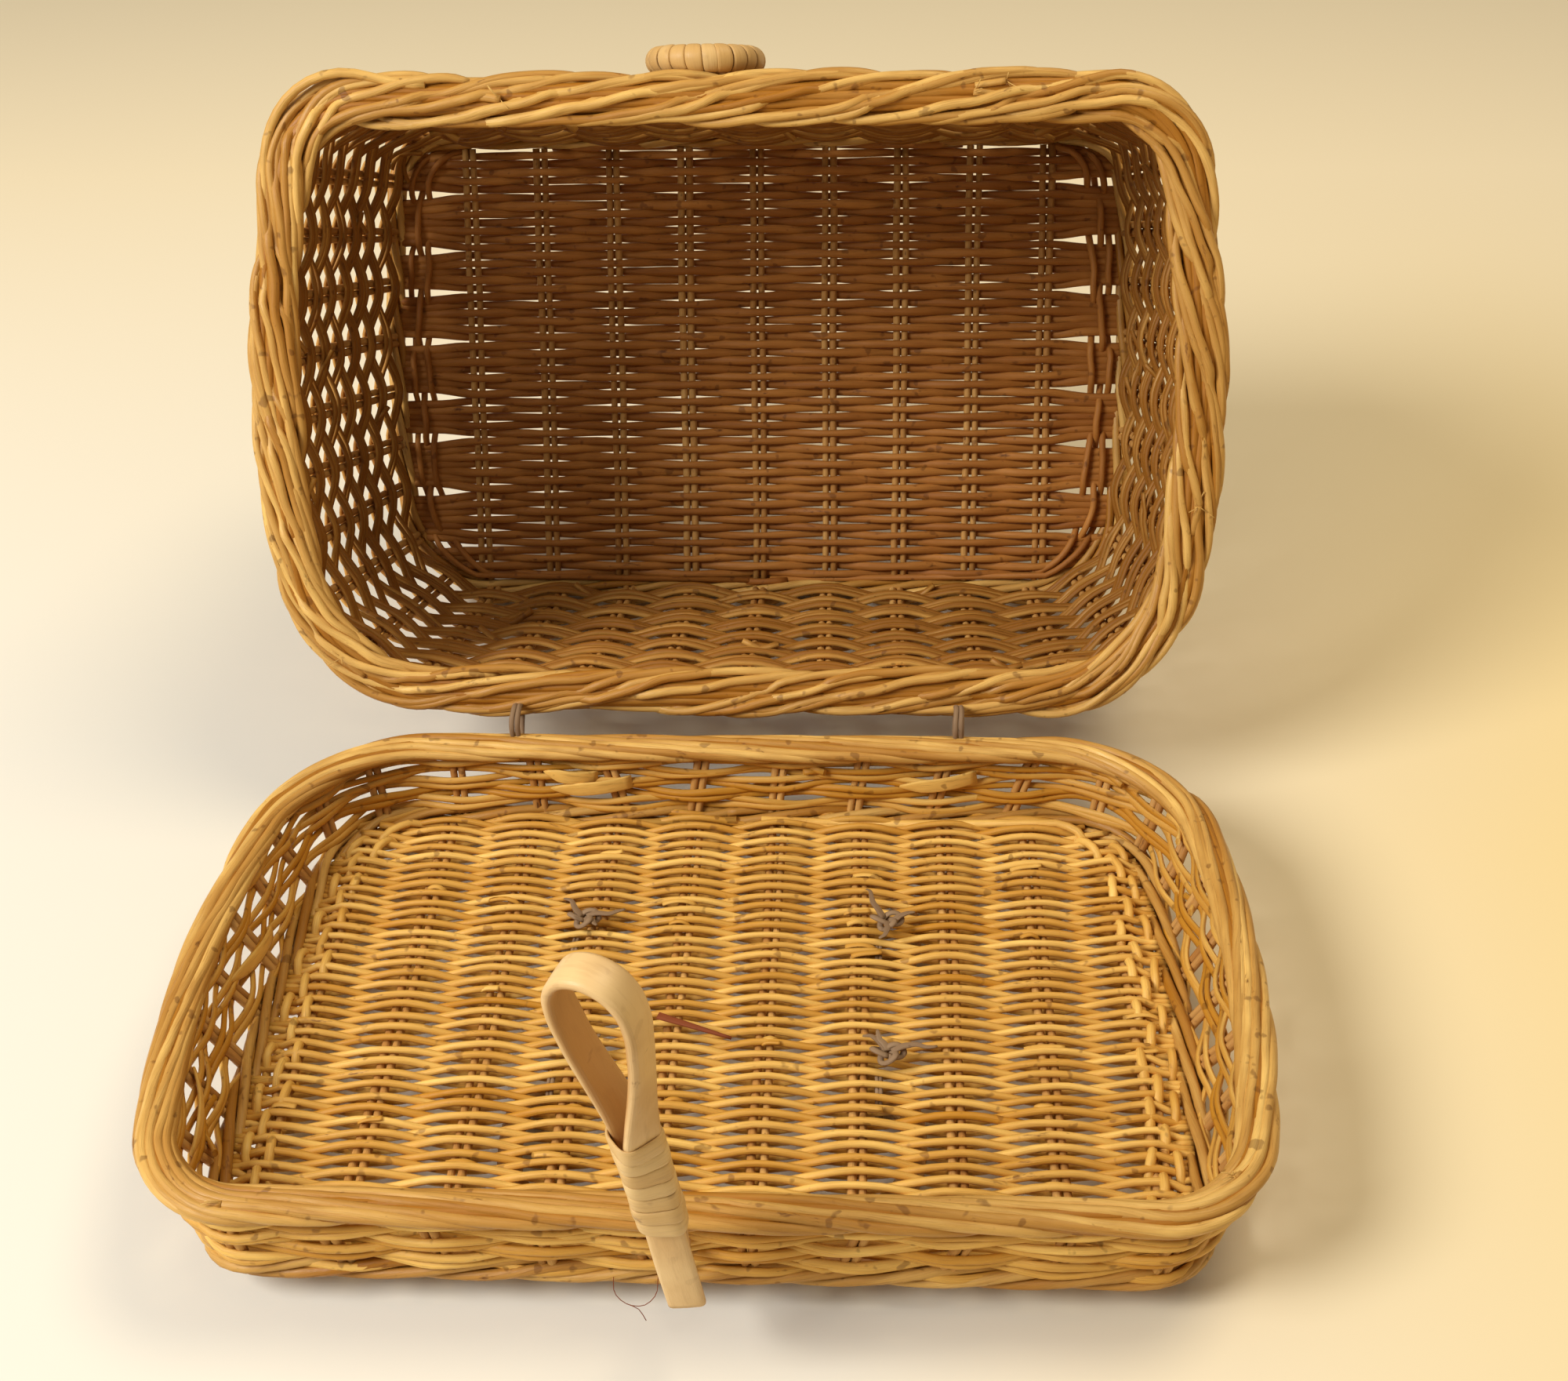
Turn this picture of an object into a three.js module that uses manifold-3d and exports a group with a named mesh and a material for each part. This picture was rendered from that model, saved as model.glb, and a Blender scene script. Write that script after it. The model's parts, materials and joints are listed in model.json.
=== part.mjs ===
// Small rattan basket with a hinged lid, lying open: the lid upside down, the basket on its back edge.
// Millimetres, +Z up. Each half is a tray drawn rim up, its hinge axis along X, its front at -Y.
import * as THREE from "three";
import { mergeVertices } from "three/addons/utils/BufferGeometryUtils.js";
import Module from "manifold-3d";

const wasm = await Module();
wasm.setup();

// Rim outline, the same on both trays so that they close on each other
const rimLength = 300;
const rimWidth = 196;
const rimBackRadius = 44;
const rimFrontRadius = 28;
const rimBow = 12;
const hingeGap = 2;

// Lid tray
const lidDepth = 26;
const lidFootLength = 267;
const lidFootWidth = 185;
const lidFootBackRadius = 32;
const lidFootFrontRadius = 18;
const lidBorderWidth = 11;
const lidBorderHeight = 9;
const lidStickColumns = 10;
const lidStickMargin = 8.8;
const lidEndStakes = 9;
const lidRows = 3;

// Basket tray
const basketDepth = 142;
const basketFootLength = 280;
const basketFootWidth = 174;
const basketFootBackRadius = 34;
const basketFootFrontRadius = 20;
const basketBorderWidth = 14;
const basketBorderHeight = 11;
const basketStickColumns = 9;
const basketStickMargin = 27.2;
const basketEndStakes = 10;
const basketRows = 17;

// Weave shared by both trays
const footBow = 5;
const wallThickness = 5;
const panelThickness = 6.4;
const footReach = 1;
const footWidth = 6.5;
const footHeight = 8;
const footChamfer = 1.5;
const stickDiameter = 2.8;
const wallSwing = 1.8;
const panelDip = 1.9;
const slotLength = 10;
const slotWidth = 2.4;
const lidSlotRows = 9;
const clearance = 0.3;
const cutOverrun = 20;
const leastRadius = 4;

// Hinge ties
const tieDiameter = 2.2;
const hingeTieSpacing = 140;
const hingeTieRadius = 5.5;

// Drop handles under the lid
const handleRod = 7;
const handlePivotSpacing = 54;
const handleEdgeMargin = 25.5;
const handleBend = 7;
const handleCorner = 20;
const handleStub = 5;
const handleTieColumn = 6;
const handleTieBeside = 5.7;
const knotWidth = 9;
const knotHeight = 4.5;

// Hasp, a cane strip bent double and bound at the neck
const stripWidth = 9.2;
const stripThickness = 2.8;
const haspX = -2;
const haspStandOff = 9;
const haspLeanOut = 6;
const haspLeanLeft = 8;
const haspTwist = 67;
const haspTwistEndShare = 0.82;
const haspPivotDepth = 13.5;
const haspTail = 14;
const haspNeck = 42.5;
const haspLength = 103;
const haspBulge = 8.8;
const haspInside = 7;
const haspSlot = 7.4;
const haspBend = 4;
const bindingStart = 16.5;
const bindingThickness = 1;
const bindingTurns = 5;
const bindingGap = 0.8;

// Wrapped ring on the basket's front
const ringOuter = 36.2;
const ringSection = 8.2;
const ringEdgeDepth = 3;
const ringBeside = 1.5;
const wrapThickness = 0.9;
const wrapTurns = 22;
const wrapGap = 0.6;

// Counts of facets
const cornerSteps = 6;
const sideSteps = 4;
const stickCapSteps = 3;
const rodSides = 8;
const rodSteps = 56;
const tieSegments = 20;
const tieSides = 6;
const knotSegments = 10;
const knotRings = 6;
const ringSegments = 32;
const bindingTurnSteps = 16;
const wrapTurnSteps = 10;
const bisections = 50;

const palette = {
  weave: 0xc79a5b,
  stick: 0xb88a4e,
  border: 0xc8964f,
  strip: 0xdcb277,
  binding: 0xe0bd88,
  tie: 0x7d5f42,
  handle: 0xa87843,
};

const material = (color, roughness = 0.65) =>
  new THREE.MeshStandardMaterial({ color, roughness, metalness: 0 });

const looks = {
  weave: material(palette.weave),
  stick: material(palette.stick, 0.7),
  border: material(palette.border, 0.55),
  strip: material(palette.strip, 0.45),
  binding: material(palette.binding, 0.5),
  tie: material(palette.tie, 0.8),
  handle: material(palette.handle, 0.55),
};

const radians = THREE.MathUtils.degToRad;
const range = (count) => Array.from({ length: count }, (_, index) => index);
const vector = (x, y, z) => new THREE.Vector3(x, y, z);

// Triangles to a closed geometry that faces out
function closedGeometry(points, triangles) {
  let volume = 0;
  triangles.forEach(([a, b, c]) => {
    volume += points[a].dot(points[b].clone().cross(points[c]));
  });
  const ordered = volume < 0 ? triangles.map(([a, b, c]) => [a, c, b]) : triangles;
  const geometry = new THREE.BufferGeometry();
  const numbers = points.flatMap((point) => point.toArray());
  geometry.setAttribute("position", new THREE.Float32BufferAttribute(numbers, 3));
  geometry.setIndex(ordered.flat());
  return geometry;
}

// Quads between two loops of points that start at the given indices, each halved along either diagonal
function quads(first, second, count, isFlipped = () => false) {
  return range(count).flatMap((i) => {
    const next = (i + 1) % count;
    const [from, to] = isFlipped(i) ? [next, i] : [i, next];
    const halves = [
      [first + from, first + to, second + to],
      [first + from, second + to, second + from],
    ];
    return isFlipped(i) ? halves.map(([a, b, c]) => [a, c, b]) : halves;
  });
}

// A solid ring through loops of points, the last joined to the first
function ringThrough(loops, isAlternating = false) {
  const count = loops[0].length;
  const triangles = loops.flatMap((_, loop) => {
    const isFlipped = (i) => isAlternating && (i + loop) % 2 === 0;
    return quads(loop * count, ((loop + 1) % loops.length) * count, count, isFlipped);
  });
  return closedGeometry(loops.flat(), triangles);
}

// A solid bar through loops of points, with a fan over each end
function barThrough(loops) {
  const count = loops[0].length;
  const last = (loops.length - 1) * count;
  const sides = range(loops.length - 1).flatMap((i) => quads(i * count, (i + 1) * count, count));
  const ends = range(count - 2).flatMap((i) => [
    [0, i + 2, i + 1],
    [last, last + i + 1, last + i + 2],
  ]);
  return closedGeometry(loops.flat(), [...sides, ...ends]);
}

function toManifold(geometry) {
  const bare = geometry.clone();
  bare.deleteAttribute("normal");
  bare.deleteAttribute("uv");
  const merged = mergeVertices(bare, 1e-4);
  return new wasm.Manifold(new wasm.Mesh({
    numProp: 3,
    vertProperties: new Float32Array(merged.attributes.position.array),
    triVerts: new Uint32Array(merged.index.array),
  }));
}

function fromManifold(body) {
  const mesh = body.getMesh();
  const geometry = new THREE.BufferGeometry();
  geometry.setAttribute("position", new THREE.BufferAttribute(mesh.vertProperties, 3));
  geometry.setIndex(new THREE.BufferAttribute(mesh.triVerts, 1));
  return geometry;
}

const cut = (geometry, cutters) =>
  fromManifold(cutters.reduce((body, cutter) => body.subtract(toManifold(cutter)), toManifold(geometry)));
const common = (first, second) => fromManifold(toManifold(first).intersect(toManifold(second)));
const joined = (first, second) => fromManifold(toManifold(first).add(toManifold(second)));

function part(name, geometry, look) {
  const mesh = new THREE.Mesh(geometry, look);
  mesh.name = name;
  return mesh;
}

// Plan of a tray at one level: a rounded rectangle whose short sides bow outwards
function outline({ length, width, backRadius, frontRadius, bow }) {
  const corners = [[1, 1, backRadius], [-1, 1, backRadius], [-1, -1, frontRadius], [1, -1, frontRadius]];
  const arcs = corners.map(([sideX, sideY, radius], corner) =>
    range(cornerSteps + 1).map((k) => {
      const angle = (corner + k / cornerSteps) * Math.PI / 2;
      return new THREE.Vector2(
        sideX * (length / 2 - radius) + radius * Math.cos(angle),
        sideY * (width / 2 - radius) + radius * Math.sin(angle),
      );
    }));
  const points = arcs.flatMap((arc, corner) => {
    const next = arcs[(corner + 1) % arcs.length][0];
    const between = range(sideSteps - 1).map((k) => arc.at(-1).clone().lerp(next, (k + 1) / sideSteps));
    return [...arc, ...between];
  });
  points.forEach((point) => {
    point.x *= 1 - bow / (length / 2) * (2 * point.y / width) ** 2;
  });
  return points;
}

const offset = (plan, amount) => ({
  length: plan.length + 2 * amount,
  width: plan.width + 2 * amount,
  backRadius: Math.max(plan.backRadius + amount, leastRadius),
  frontRadius: Math.max(plan.frontRadius + amount, leastRadius),
  bow: plan.bow,
});

const lerp = THREE.MathUtils.lerp;
const blend = (top, bottom, share) =>
  Object.fromEntries(Object.keys(top).map((key) => [key, lerp(top[key], bottom[key], share)]));

const trayCentre = -(hingeGap + rimWidth / 2);
const loopAt = (plan, z) => outline(plan).map((point) => vector(point.x, point.y + trayCentre, z));

const rimPlan = {
  length: rimLength,
  width: rimWidth,
  backRadius: rimBackRadius,
  frontRadius: rimFrontRadius,
  bow: rimBow,
};

// Rounded section of a border, as shares of its width and height
const borderSectionShares = [
  [0, 0.32], [0, 0.68], [0.22, 1], [0.78, 1],
  [1, 0.68], [1, 0.32], [0.78, 0], [0.22, 0],
];

function rimBorder(tray) {
  return ringThrough(borderSectionShares.map(([acrossShare, downShare]) => {
    const plan = offset(rimPlan, -acrossShare * tray.borderWidth);
    return loopAt(plan, -clearance / 2 - downShare * tray.borderHeight);
  }));
}

const footBottom = (tray) => -(tray.depth + panelThickness + footReach);

// Section of the foot as pairs of inward offset and height, flat underneath and chamfered outside
const footSection = (tray) => [
  [footChamfer, footBottom(tray)],
  [0, footBottom(tray) + footChamfer],
  [0, footBottom(tray) + footHeight],
  [footWidth, footBottom(tray) + footHeight],
  [footWidth, footBottom(tray)],
];

const footBorder = (tray) =>
  ringThrough(footSection(tray).map(([inwards, z]) => loopAt(offset(tray.footPlan, -inwards), z)));

const wallTopPlan = (tray) => offset(rimPlan, -(tray.borderWidth - wallThickness) / 2);

// Plan as a path that starts at the middle of the back
function roundPath(plan) {
  const points = outline(plan);
  const start = cornerSteps + sideSteps / 2;
  return new THREE.Shape([...points.slice(start), ...points.slice(0, start + 1)]);
}

// Shares of the way round a wall at its stakes: at the stick columns, and evenly round the ends
function stakeShares(tray) {
  const round = roundPath(wallTopPlan(tray)).getLength();
  const back = columns(tray).filter((x) => x >= 0).map((x) => x / round);
  const front = back.toReversed().map((share) => 0.5 - share);
  const ends = range(tray.endStakes).map((i) =>
    lerp(back.at(-1), front[0], (i + 1) / (tray.endStakes + 1)));
  const half = [...back, ...ends, ...front];
  const mirrored = half.filter((share) => share > 0 && share < 0.5).map((share) => 1 - share);
  return [...half, ...mirrored.toReversed()];
}

// Loop with a point at each stake, in turn outside and inside a plan by the given swing
function wovenLoop(plan, z, swing, shares) {
  const paths = [swing, -swing].map((amount) => roundPath(offset(plan, amount)));
  return shares.map((share, i) => {
    const point = paths[i % 2].getPoint(share);
    return vector(point.x, point.y + trayCentre, z);
  });
}

// Wall between the borders, which swings out and in from stake to stake and from row to row
function wall(tray) {
  const top = -clearance * 1.5 - tray.borderHeight;
  const bottom = footBottom(tray) + footHeight + clearance;
  const bottomPlan = offset(tray.footPlan, -footWidth + wallThickness);
  const shares = stakeShares(tray);
  const rows = range(tray.rows).map((row) => [(row + 0.5) / tray.rows, row % 2 ? -wallSwing : wallSwing]);
  const levels = [[0, 0], ...rows, [1, 0]];
  const level = ([share, swing], inwards) => {
    const plan = offset(blend(wallTopPlan(tray), bottomPlan, share), -inwards);
    return wovenLoop(plan, top + (bottom - top) * share, swing, shares);
  };
  return ringThrough([
    ...levels.map((place) => level(place, 0)),
    ...levels.toReversed().map((place) => level(place, wallThickness)),
  ], true);
}

// Inclination of the front wall's outer face at one depth, and that face's place there
function frontWallY(tray, depth) {
  const inset = (tray.borderWidth - wallThickness) / 2;
  const top = -(hingeGap + rimWidth) + inset;
  const foot = trayCentre - tray.footPlan.width / 2 + footWidth - wallThickness;
  return lerp(top, foot, (depth - tray.borderHeight) / (-footBottom(tray) - tray.borderHeight));
}

// Bar with a capsule section, a pair of round sticks side by side, along Y
function stickBar(x, z, grow, length) {
  const radius = stickDiameter / 2 + grow;
  const shape = new THREE.Shape();
  shape.absarc(stickDiameter / 2, 0, radius, -Math.PI / 2, Math.PI / 2);
  shape.absarc(-stickDiameter / 2, 0, radius, Math.PI / 2, Math.PI * 1.5);
  const bar = new THREE.ExtrudeGeometry(shape, {
    depth: length,
    bevelEnabled: false,
    curveSegments: stickCapSteps,
  });
  return bar.translate(0, 0, -length / 2).rotateX(Math.PI / 2).translate(x, trayCentre, z);
}

function prism(plan, low, high) {
  const geometry = new THREE.ExtrudeGeometry(new THREE.Shape(outline(plan)), {
    depth: high - low,
    bevelEnabled: false,
  });
  return geometry.translate(0, trayCentre, low);
}

const panelPlan = (tray) => offset(tray.footPlan, -footWidth - clearance);

// Places of the stick pairs along X, spread evenly between the panel's end margins
function columns(tray) {
  const outermost = panelPlan(tray).length / 2 - tray.stickMargin;
  return range(tray.stickColumns).map((i) => outermost * (2 * i / (tray.stickColumns - 1) - 1));
}

// Slab that is thick along the stick columns and dips between them, above and below
function wavySlab(tray, middle, long) {
  const places = columns(tray);
  const halfPitch = (places[1] - places[0]) / 2;
  const crest = panelThickness / 2;
  const dip = crest - panelDip;
  const beyond = panelPlan(tray).length / 2 + cutOverrun;
  const upper = [
    [-beyond, dip],
    [places[0] - halfPitch, dip],
    ...places.flatMap((x) => [
      [x - stickDiameter, crest],
      [x + stickDiameter, crest],
      [x + halfPitch, dip],
    ]),
    [beyond, dip],
  ];
  const lower = upper.toReversed().map(([x, z]) => [x, -z]);
  const shape = new THREE.Shape([...upper, ...lower].map(([x, z]) => new THREE.Vector2(x, z)));
  const slab = new THREE.ExtrudeGeometry(shape, { depth: long, bevelEnabled: false });
  return slab.translate(0, 0, -long / 2).rotateX(Math.PI / 2).translate(0, trayCentre, middle);
}

// Rows of slots through a panel, one slot between each stick column and the next
function slots(tray, rows) {
  const places = columns(tray);
  const halfPitch = (places[1] - places[0]) / 2;
  const pitch = panelPlan(tray).width / rows;
  const middle = -tray.depth - panelThickness / 2;
  return places.slice(0, -1).flatMap((x) => range(rows).map((row) => {
    const box = new THREE.BoxGeometry(slotLength, slotWidth, panelThickness * 2);
    return box.translate(x + halfPitch, trayCentre + (row - (rows - 1) / 2) * pitch, middle);
  }));
}

// Woven floor panel, bored for the stick pairs that it is woven on
function panel(tray, cutters) {
  const middle = -tray.depth - panelThickness / 2;
  const long = tray.footPlan.width + cutOverrun;
  const plate = prism(panelPlan(tray), middle - panelThickness, middle + panelThickness);
  const bores = columns(tray).map((x) => stickBar(x, middle, clearance, long));
  return cut(common(wavySlab(tray, middle, long), plate), [...bores, ...cutters]);
}

function sticks(tray, prefix) {
  const z = -tray.depth - panelThickness / 2;
  const limit = prism(offset(panelPlan(tray), -clearance), z - stickDiameter, z + stickDiameter);
  return columns(tray).map((x, i) => {
    const bar = stickBar(x, z, 0, tray.footPlan.width + cutOverrun);
    return part(`${prefix}_${String(i + 1).padStart(2, "0")}`, common(bar, limit), looks.stick);
  });
}

// Closed loop of round cane in the YZ plane, as tall and as wide as given
function tieLoop(width, height, radius) {
  const halfWidth = width / 2;
  const ring = new THREE.TorusGeometry(1, radius / halfWidth, tieSides, tieSegments);
  ring.scale(halfWidth, halfWidth, halfWidth);
  const points = ring.attributes.position;
  for (let i = 0; i < points.count; i++) {
    const y = points.getY(i);
    points.setY(i, y + Math.sign(y) * (height - width) / 2 * Math.min(1, Math.abs(y) / (halfWidth / 2)));
  }
  return ring.rotateX(Math.PI / 2).rotateZ(Math.PI / 2);
}

// Hinge: two cane loops round the hinge axis, each running through both back borders
const hingeLoop = (x, radius) => {
  const ring = new THREE.TorusGeometry(hingeTieRadius, radius, tieSides, tieSegments);
  return ring.rotateY(Math.PI / 2).translate(x, 0, 0);
};
const hingeTieXs = [-hingeTieSpacing / 2, hingeTieSpacing / 2];
const hingeTunnels = hingeTieXs.map((x) => hingeLoop(x, tieDiameter / 2 + clearance));

const lid = {
  depth: lidDepth,
  borderWidth: lidBorderWidth,
  borderHeight: lidBorderHeight,
  stickColumns: lidStickColumns,
  stickMargin: lidStickMargin,
  endStakes: lidEndStakes,
  rows: lidRows,
  footPlan: {
    length: lidFootLength,
    width: lidFootWidth,
    backRadius: lidFootBackRadius,
    frontRadius: lidFootFrontRadius,
    bow: footBow,
  },
};

const basket = {
  depth: basketDepth,
  borderWidth: basketBorderWidth,
  borderHeight: basketBorderHeight,
  stickColumns: basketStickColumns,
  stickMargin: basketStickMargin,
  endStakes: basketEndStakes,
  rows: basketRows,
  footPlan: {
    length: basketFootLength,
    width: basketFootWidth,
    backRadius: basketFootBackRadius,
    frontRadius: basketFootFrontRadius,
    bow: footBow,
  },
};

// Drop handles: bent rods that lie flat against the lid's top, their turned-in ends held by ties
const handleZ = -(lidDepth + panelThickness + clearance * 2 + handleRod / 2);
const handlePivotYs = [trayCentre + handlePivotSpacing / 2, trayCentre - handlePivotSpacing / 2];
const handleReach = (lidFootWidth - handlePivotSpacing) / 2 - handleEdgeMargin;
const handleTieX = columns(lid)[handleTieColumn] + handleTieBeside;

// Path through corner points whose corners are rounded
function roundedPath(corners, radii) {
  const path = new THREE.CurvePath();
  let from = corners[0];
  for (let i = 1; i < corners.length - 1; i++) {
    const before = corners[i].clone().add(corners[i - 1].clone().sub(corners[i]).setLength(radii[i - 1]));
    const after = corners[i].clone().add(corners[i + 1].clone().sub(corners[i]).setLength(radii[i - 1]));
    path.add(new THREE.LineCurve3(from, before));
    path.add(new THREE.QuadraticBezierCurve3(before, corners[i], after));
    from = after;
  }
  path.add(new THREE.LineCurve3(from, corners.at(-1)));
  return path;
}

function rod(path, diameter) {
  const shape = new THREE.Shape(range(rodSides).map((i) => {
    const angle = i / rodSides * Math.PI * 2;
    return new THREE.Vector2(Math.cos(angle) * diameter / 2, Math.sin(angle) * diameter / 2);
  }));
  return new THREE.ExtrudeGeometry(shape, { steps: rodSteps, extrudePath: path, bevelEnabled: false });
}

function dropHandle(pivotY, side) {
  const half = handleTieX + tieDiameter + handleBend;
  const stubEnd = handleTieX - handleStub;
  const endY = pivotY + side * handleReach;
  const path = roundedPath([
    vector(-stubEnd, pivotY, handleZ),
    vector(-half, pivotY, handleZ),
    vector(-half, endY, handleZ),
    vector(half, endY, handleZ),
    vector(half, pivotY, handleZ),
    vector(stubEnd, pivotY, handleZ),
  ], [handleBend, handleCorner, handleCorner, handleBend]);
  return rod(path, handleRod);
}

const handleTieWidth = handleRod + 2 * clearance + tieDiameter * 2;
const handleTieHeight = handleRod + 4 * clearance + panelThickness + tieDiameter * 2;
const handleTiePlaces = handlePivotYs.flatMap((y) => [-handleTieX, handleTieX].map((x) => [x, y]));

function handleTieLoop(x, y, radius) {
  const top = -lidDepth + clearance + tieDiameter;
  const loop = tieLoop(handleTieWidth - tieDiameter, handleTieHeight - tieDiameter, radius);
  return loop.translate(x, y, top - handleTieHeight / 2);
}

function handleTie(x, y) {
  const knot = new THREE.SphereGeometry(1, knotSegments, knotRings);
  knot.scale(knotWidth / 2, knotWidth / 2, knotHeight / 2);
  knot.translate(x, y, -lidDepth + clearance + knotHeight / 2);
  return joined(handleTieLoop(x, y, tieDiameter / 2), knot);
}

// Hasp: a point of its centre line is given by its way along the neck and its offset across the strip
const haspFrame = (() => {
  const axis = vector(-Math.tan(radians(haspLeanLeft)), -Math.tan(radians(haspLeanOut)), 1).normalize();
  const out = vector(0, -1, 0).addScaledVector(axis, axis.y).normalize();
  const wide = vector(0, 0, 0).crossVectors(axis, out).normalize();
  const neckHalf = stripThickness + clearance / 2 + clearance + bindingThickness;
  const offRim = hingeGap + rimWidth + haspStandOff;
  const footFront = lid.footPlan.width / 2 - trayCentre;
  const offFoot = footFront + clearance - Math.tan(radians(haspLeanOut)) * footBottom(lid);
  const origin = vector(haspX, -Math.max(offRim, offFoot) - neckHalf, 0);
  return { axis, out, wide, origin };
})();

function haspPoint(along, across) {
  const twistEnd = haspLength * haspTwistEndShare;
  const turn = radians(haspTwist) * THREE.MathUtils.smoothstep(along, haspNeck, twistEnd);
  const { axis, out, wide, origin } = haspFrame;
  const outwards = out.clone().multiplyScalar(Math.cos(turn)).addScaledVector(wide, Math.sin(turn));
  const sideways = wide.clone().multiplyScalar(Math.cos(turn)).addScaledVector(out, -Math.sin(turn));
  const centre = origin.clone().addScaledVector(axis, along).addScaledVector(outwards, across);
  return { centre, sideways };
}

// Corners of a flat strip at places that each have a centre and a sideways direction
function stripCorners(places, widthAt, thickness) {
  return places.map(({ centre, sideways }, i) => {
    const before = places[Math.max(i - 1, 0)].centre;
    const after = places[Math.min(i + 1, places.length - 1)].centre;
    const forwards = after.clone().sub(before).normalize();
    const across = forwards.clone().cross(sideways).normalize().multiplyScalar(thickness / 2);
    const wide = across.clone().cross(forwards).setLength(widthAt(i) / 2);
    return [[1, 1], [1, -1], [-1, -1], [-1, 1]].map(([a, b]) =>
      centre.clone().addScaledVector(wide, a).addScaledVector(across, b));
  });
}

// A strip wound into turns, after measuring the least gap between a turn and the next
function winding(name, places, widthAt, thickness, turnSteps) {
  const corners = stripCorners(places, widthAt, thickness);
  let least = Infinity;
  corners.forEach((turn, i) => corners.slice(i + turnSteps / 2).forEach((later) => {
    turn.forEach((here) => later.forEach((there) => {
      least = Math.min(least, here.distanceTo(there));
    }));
  }));
  console.log(`${name}: least gap between turns ${least.toFixed(2)} mm`);
  return barThrough(corners);
}

const neckOffset = (stripThickness + clearance) / 2;

// Half width of the loop, as shares of its bulge, at shares of the way from the neck to the tip
const loopWayShares = [0, 0.22, 0.45, 0.65, 0.8, 0.9, 0.97, 1];
const loopWidthShares = [0, 0.34, 0.75, 0.97, 1, 0.86, 0.55, 0];

function hasp() {
  const outer = loopWayShares.map((share, i) => [
    haspNeck + (haspLength - haspNeck) * share,
    neckOffset * (1 - share) + haspBulge * loopWidthShares[i],
  ]);
  const inner = outer.slice(0, -1).toReversed().map(([along, across]) => [along, -across]);
  const pivotAlong = -haspPivotDepth / haspFrame.axis.z;
  const route = [
    ...[-haspTail, -haspTail / 2, 0].map((along) => [along, neckOffset]),
    ...outer,
    ...inner,
    ...[haspNeck / 2, 0, pivotAlong + haspBend].map((along) => [along, -neckOffset]),
  ];
  const points = route.map(([along, across]) => vector(along, across, 0));
  const flat = new THREE.CatmullRomCurve3(points, false, "centripetal");
  const places = flat.getSpacedPoints(rodSteps).map((point) => haspPoint(point.x, point.y));
  const turnIn = haspPoint(pivotAlong, -neckOffset - haspBend).centre;
  const inside = vector(turnIn.x, frontWallY(lid, haspPivotDepth) + wallThickness + haspInside, turnIn.z);
  const sideways = vector(1, 0, 0);
  const ends = [turnIn, inside].map((centre) => ({ centre, sideways }));
  return barThrough(stripCorners([...places, ...ends], () => stripWidth, stripThickness));
}

const haspPivot = () => vector(0, frontWallY(lid, haspPivotDepth) + wallThickness / 2, -haspPivotDepth);

function haspSlotCutter() {
  const box = new THREE.BoxGeometry(stripWidth + 4 * clearance, cutOverrun, haspSlot);
  const along = -haspPivotDepth / haspFrame.axis.z;
  const pivot = haspPivot();
  return box.translate(haspPoint(along, 0).centre.x, pivot.y, pivot.z);
}

// Binding: one strip wound round the hasp's neck
function binding() {
  const halfDeep = stripThickness + clearance * 1.5 + bindingThickness / 2;
  const halfWide = stripWidth / 2 + clearance + bindingThickness / 2;
  const pitch = (haspNeck - bindingStart) / (bindingTurns + 1);
  const { out, wide, axis } = haspFrame;
  const places = range(bindingTurns * bindingTurnSteps + 1).map((i) => {
    const angle = i / bindingTurnSteps * Math.PI * 2;
    const corner = Math.max(Math.abs(Math.cos(angle)), Math.abs(Math.sin(angle)));
    const along = bindingStart + pitch * (0.5 + i / bindingTurnSteps);
    const centre = haspPoint(along, 0).centre
      .addScaledVector(out, halfDeep * Math.cos(angle) / corner)
      .addScaledVector(wide, halfWide * Math.sin(angle) / corner);
    return { centre, sideways: axis };
  });
  return winding("hasp_binding", places, () => pitch - bindingGap, bindingThickness, bindingTurnSteps);
}

// Wrapped ring: a cane hoop with one strip wound round it, hung by a tie on the basket's front
const ringMiddle = (ringOuter - ringSection) / 2;
// The ring meets the hasp when the lid is shut; the basket faces the lid, so its own X runs the other way
const ringDepth = ringEdgeDepth + ringOuter - ringSection / 2;
const ringX = ringBeside - haspPoint(ringDepth / haspFrame.axis.z, 0).centre.x;
const ringY = -(hingeGap + rimWidth) - clearance - ringSection / 2;
const ringZ = -(ringEdgeDepth + ringOuter / 2);

function ringCore() {
  const section = ringSection / 2 - wrapThickness - clearance;
  return new THREE.TorusGeometry(ringMiddle, section, tieSides, ringSegments).rotateX(Math.PI / 2);
}

function ringWrap() {
  const radius = (ringSection - wrapThickness) / 2;
  const steps = wrapTurns * wrapTurnSteps;
  const missing = 1 / wrapTurns;
  const places = range(steps + 1).map((i) => {
    const round = Math.PI * 2 * (i / steps * (1 - missing)) + Math.PI / 2;
    const angle = i / wrapTurnSteps * Math.PI * 2;
    const reach = ringMiddle + radius * Math.cos(angle);
    const centre = vector(reach * Math.cos(round), radius * Math.sin(angle), reach * Math.sin(round));
    return { centre, sideways: vector(-Math.sin(round), 0, Math.cos(round)), reach };
  });
  const width = (i) => Math.PI * 2 * places[i].reach * (1 - missing) / wrapTurns - wrapGap;
  return winding("ring_wrap", places, width, wrapThickness, wrapTurnSteps);
}

const ringTieWidth = ringSection + 4 * clearance + tieDiameter * 2;
const ringPivotZ = ringZ - ringMiddle;

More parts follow.
